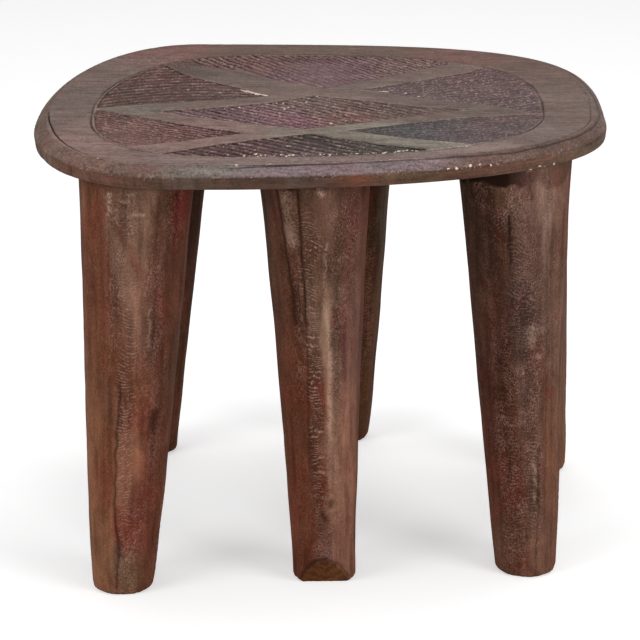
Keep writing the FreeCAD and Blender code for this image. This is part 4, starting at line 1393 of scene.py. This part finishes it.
# %% Put the finishes on, and fix each piece to the body
seat.data.materials.append(top_finish)
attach(seat, "root")
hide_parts("seat_slab")
for name, leg in legs.items():
    leg.data.materials.append(leg_finish)
    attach(leg, "root")
    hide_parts("leg_" + name)
print("fixed", 1 + len(legs), "pieces")

# %% [markdown]
# The table stands on a plain pale floor under soft studio light: broad lamps on both
# sides, one above and a weak one in front. The camera sees the floor and the world as near
# white, while the lamps stay at a level at which a colour shows as it was mixed.

# %% Floor, lights and world
bpy.ops.object.select_all(action="DESELECT")
bpy.ops.mesh.primitive_plane_add(size=12.0)
floor = bpy.context.object
floor.name = "studio_floor"
pale = Finish("pale_floor")
floor_grey, paper_white = (0.80, 0.80, 0.80, 1.0), (1.0, 1.0, 1.0, 1.0)
floor_glow, sky_strength = 0.45, 0.36
sheet = pale.add("ShaderNodeBsdfDiffuse", None, {"Color": floor_grey})
glow = pale.add("ShaderNodeEmission", None, {"Color": paper_white, "Strength": floor_glow})
both = pale.add("ShaderNodeAddShader", None, {0: sheet, 1: glow})
rays = pale.add("ShaderNodeLightPath", None, None, "Is Camera Ray")
pale.add_output(pale.add("ShaderNodeMixShader", None, {0: rays, 1: sheet, 2: both}))
floor.data.materials.append(pale.material)


def lamp(name, place, aim, size, power):
    light = bpy.data.lights.new(name, "AREA")
    light.shape, light.size, light.energy = "DISK", size, power
    holder = bpy.data.objects.new(name, light)
    holder.location = place
    holder.rotation_euler = (Vector(aim) - Vector(place)).to_track_quat("-Z", "Y").to_euler()
    bpy.context.collection.objects.link(holder)


middle = (0.0, 0.0, 0.25)
lamp("left_lamp", (-2.2, -1.6, 1.3), middle, 1.6, 30.0)
lamp("right_lamp", (2.2, -1.6, 1.4), middle, 1.6, 34.0)
lamp("high_lamp", (0.2, 0.6, 2.8), (0.0, 0.0, 0.3), 2.2, 28.0)
lamp("front_lamp", (0.2, -3.4, 1.0), middle, 1.6, 12.0)
world = bpy.context.scene.world or bpy.data.worlds.new("studio")
bpy.context.scene.world = world
world.use_nodes = True
world.node_tree.nodes.clear()
sky = world.node_tree.nodes.new("ShaderNodeBackground")
white = world.node_tree.nodes.new("ShaderNodeBackground")
sky.inputs["Strength"].default_value = sky_strength
white.inputs["Color"].default_value = sky.inputs["Color"].default_value = paper_white
choose = world.node_tree.nodes.new("ShaderNodeMixShader")
path = world.node_tree.nodes.new("ShaderNodeLightPath")
end = world.node_tree.nodes.new("ShaderNodeOutputWorld")
world.node_tree.links.new(path.outputs["Is Camera Ray"], choose.inputs[0])
world.node_tree.links.new(sky.outputs[0], choose.inputs[1])
world.node_tree.links.new(white.outputs[0], choose.inputs[2])
world.node_tree.links.new(choose.outputs[0], end.inputs["Surface"])
bpy.context.scene.view_settings.view_transform = "Standard"

# %% [markdown]
# A long lens from 2.9 metres away and 1.2 metres up gives the photograph's view.

# %% Camera
view = bpy.data.cameras.new("view")
view.sensor_width, view.lens = 36.0, 168.75
camera = bpy.data.objects.new("camera", view)
camera.location = (0.0438, -2.8821, 1.2008)
camera.rotation_euler = (math.pi / 2 - 0.3320, 0.0, 0.01575)
bpy.context.collection.objects.link(camera)
bpy.context.scene.camera = camera
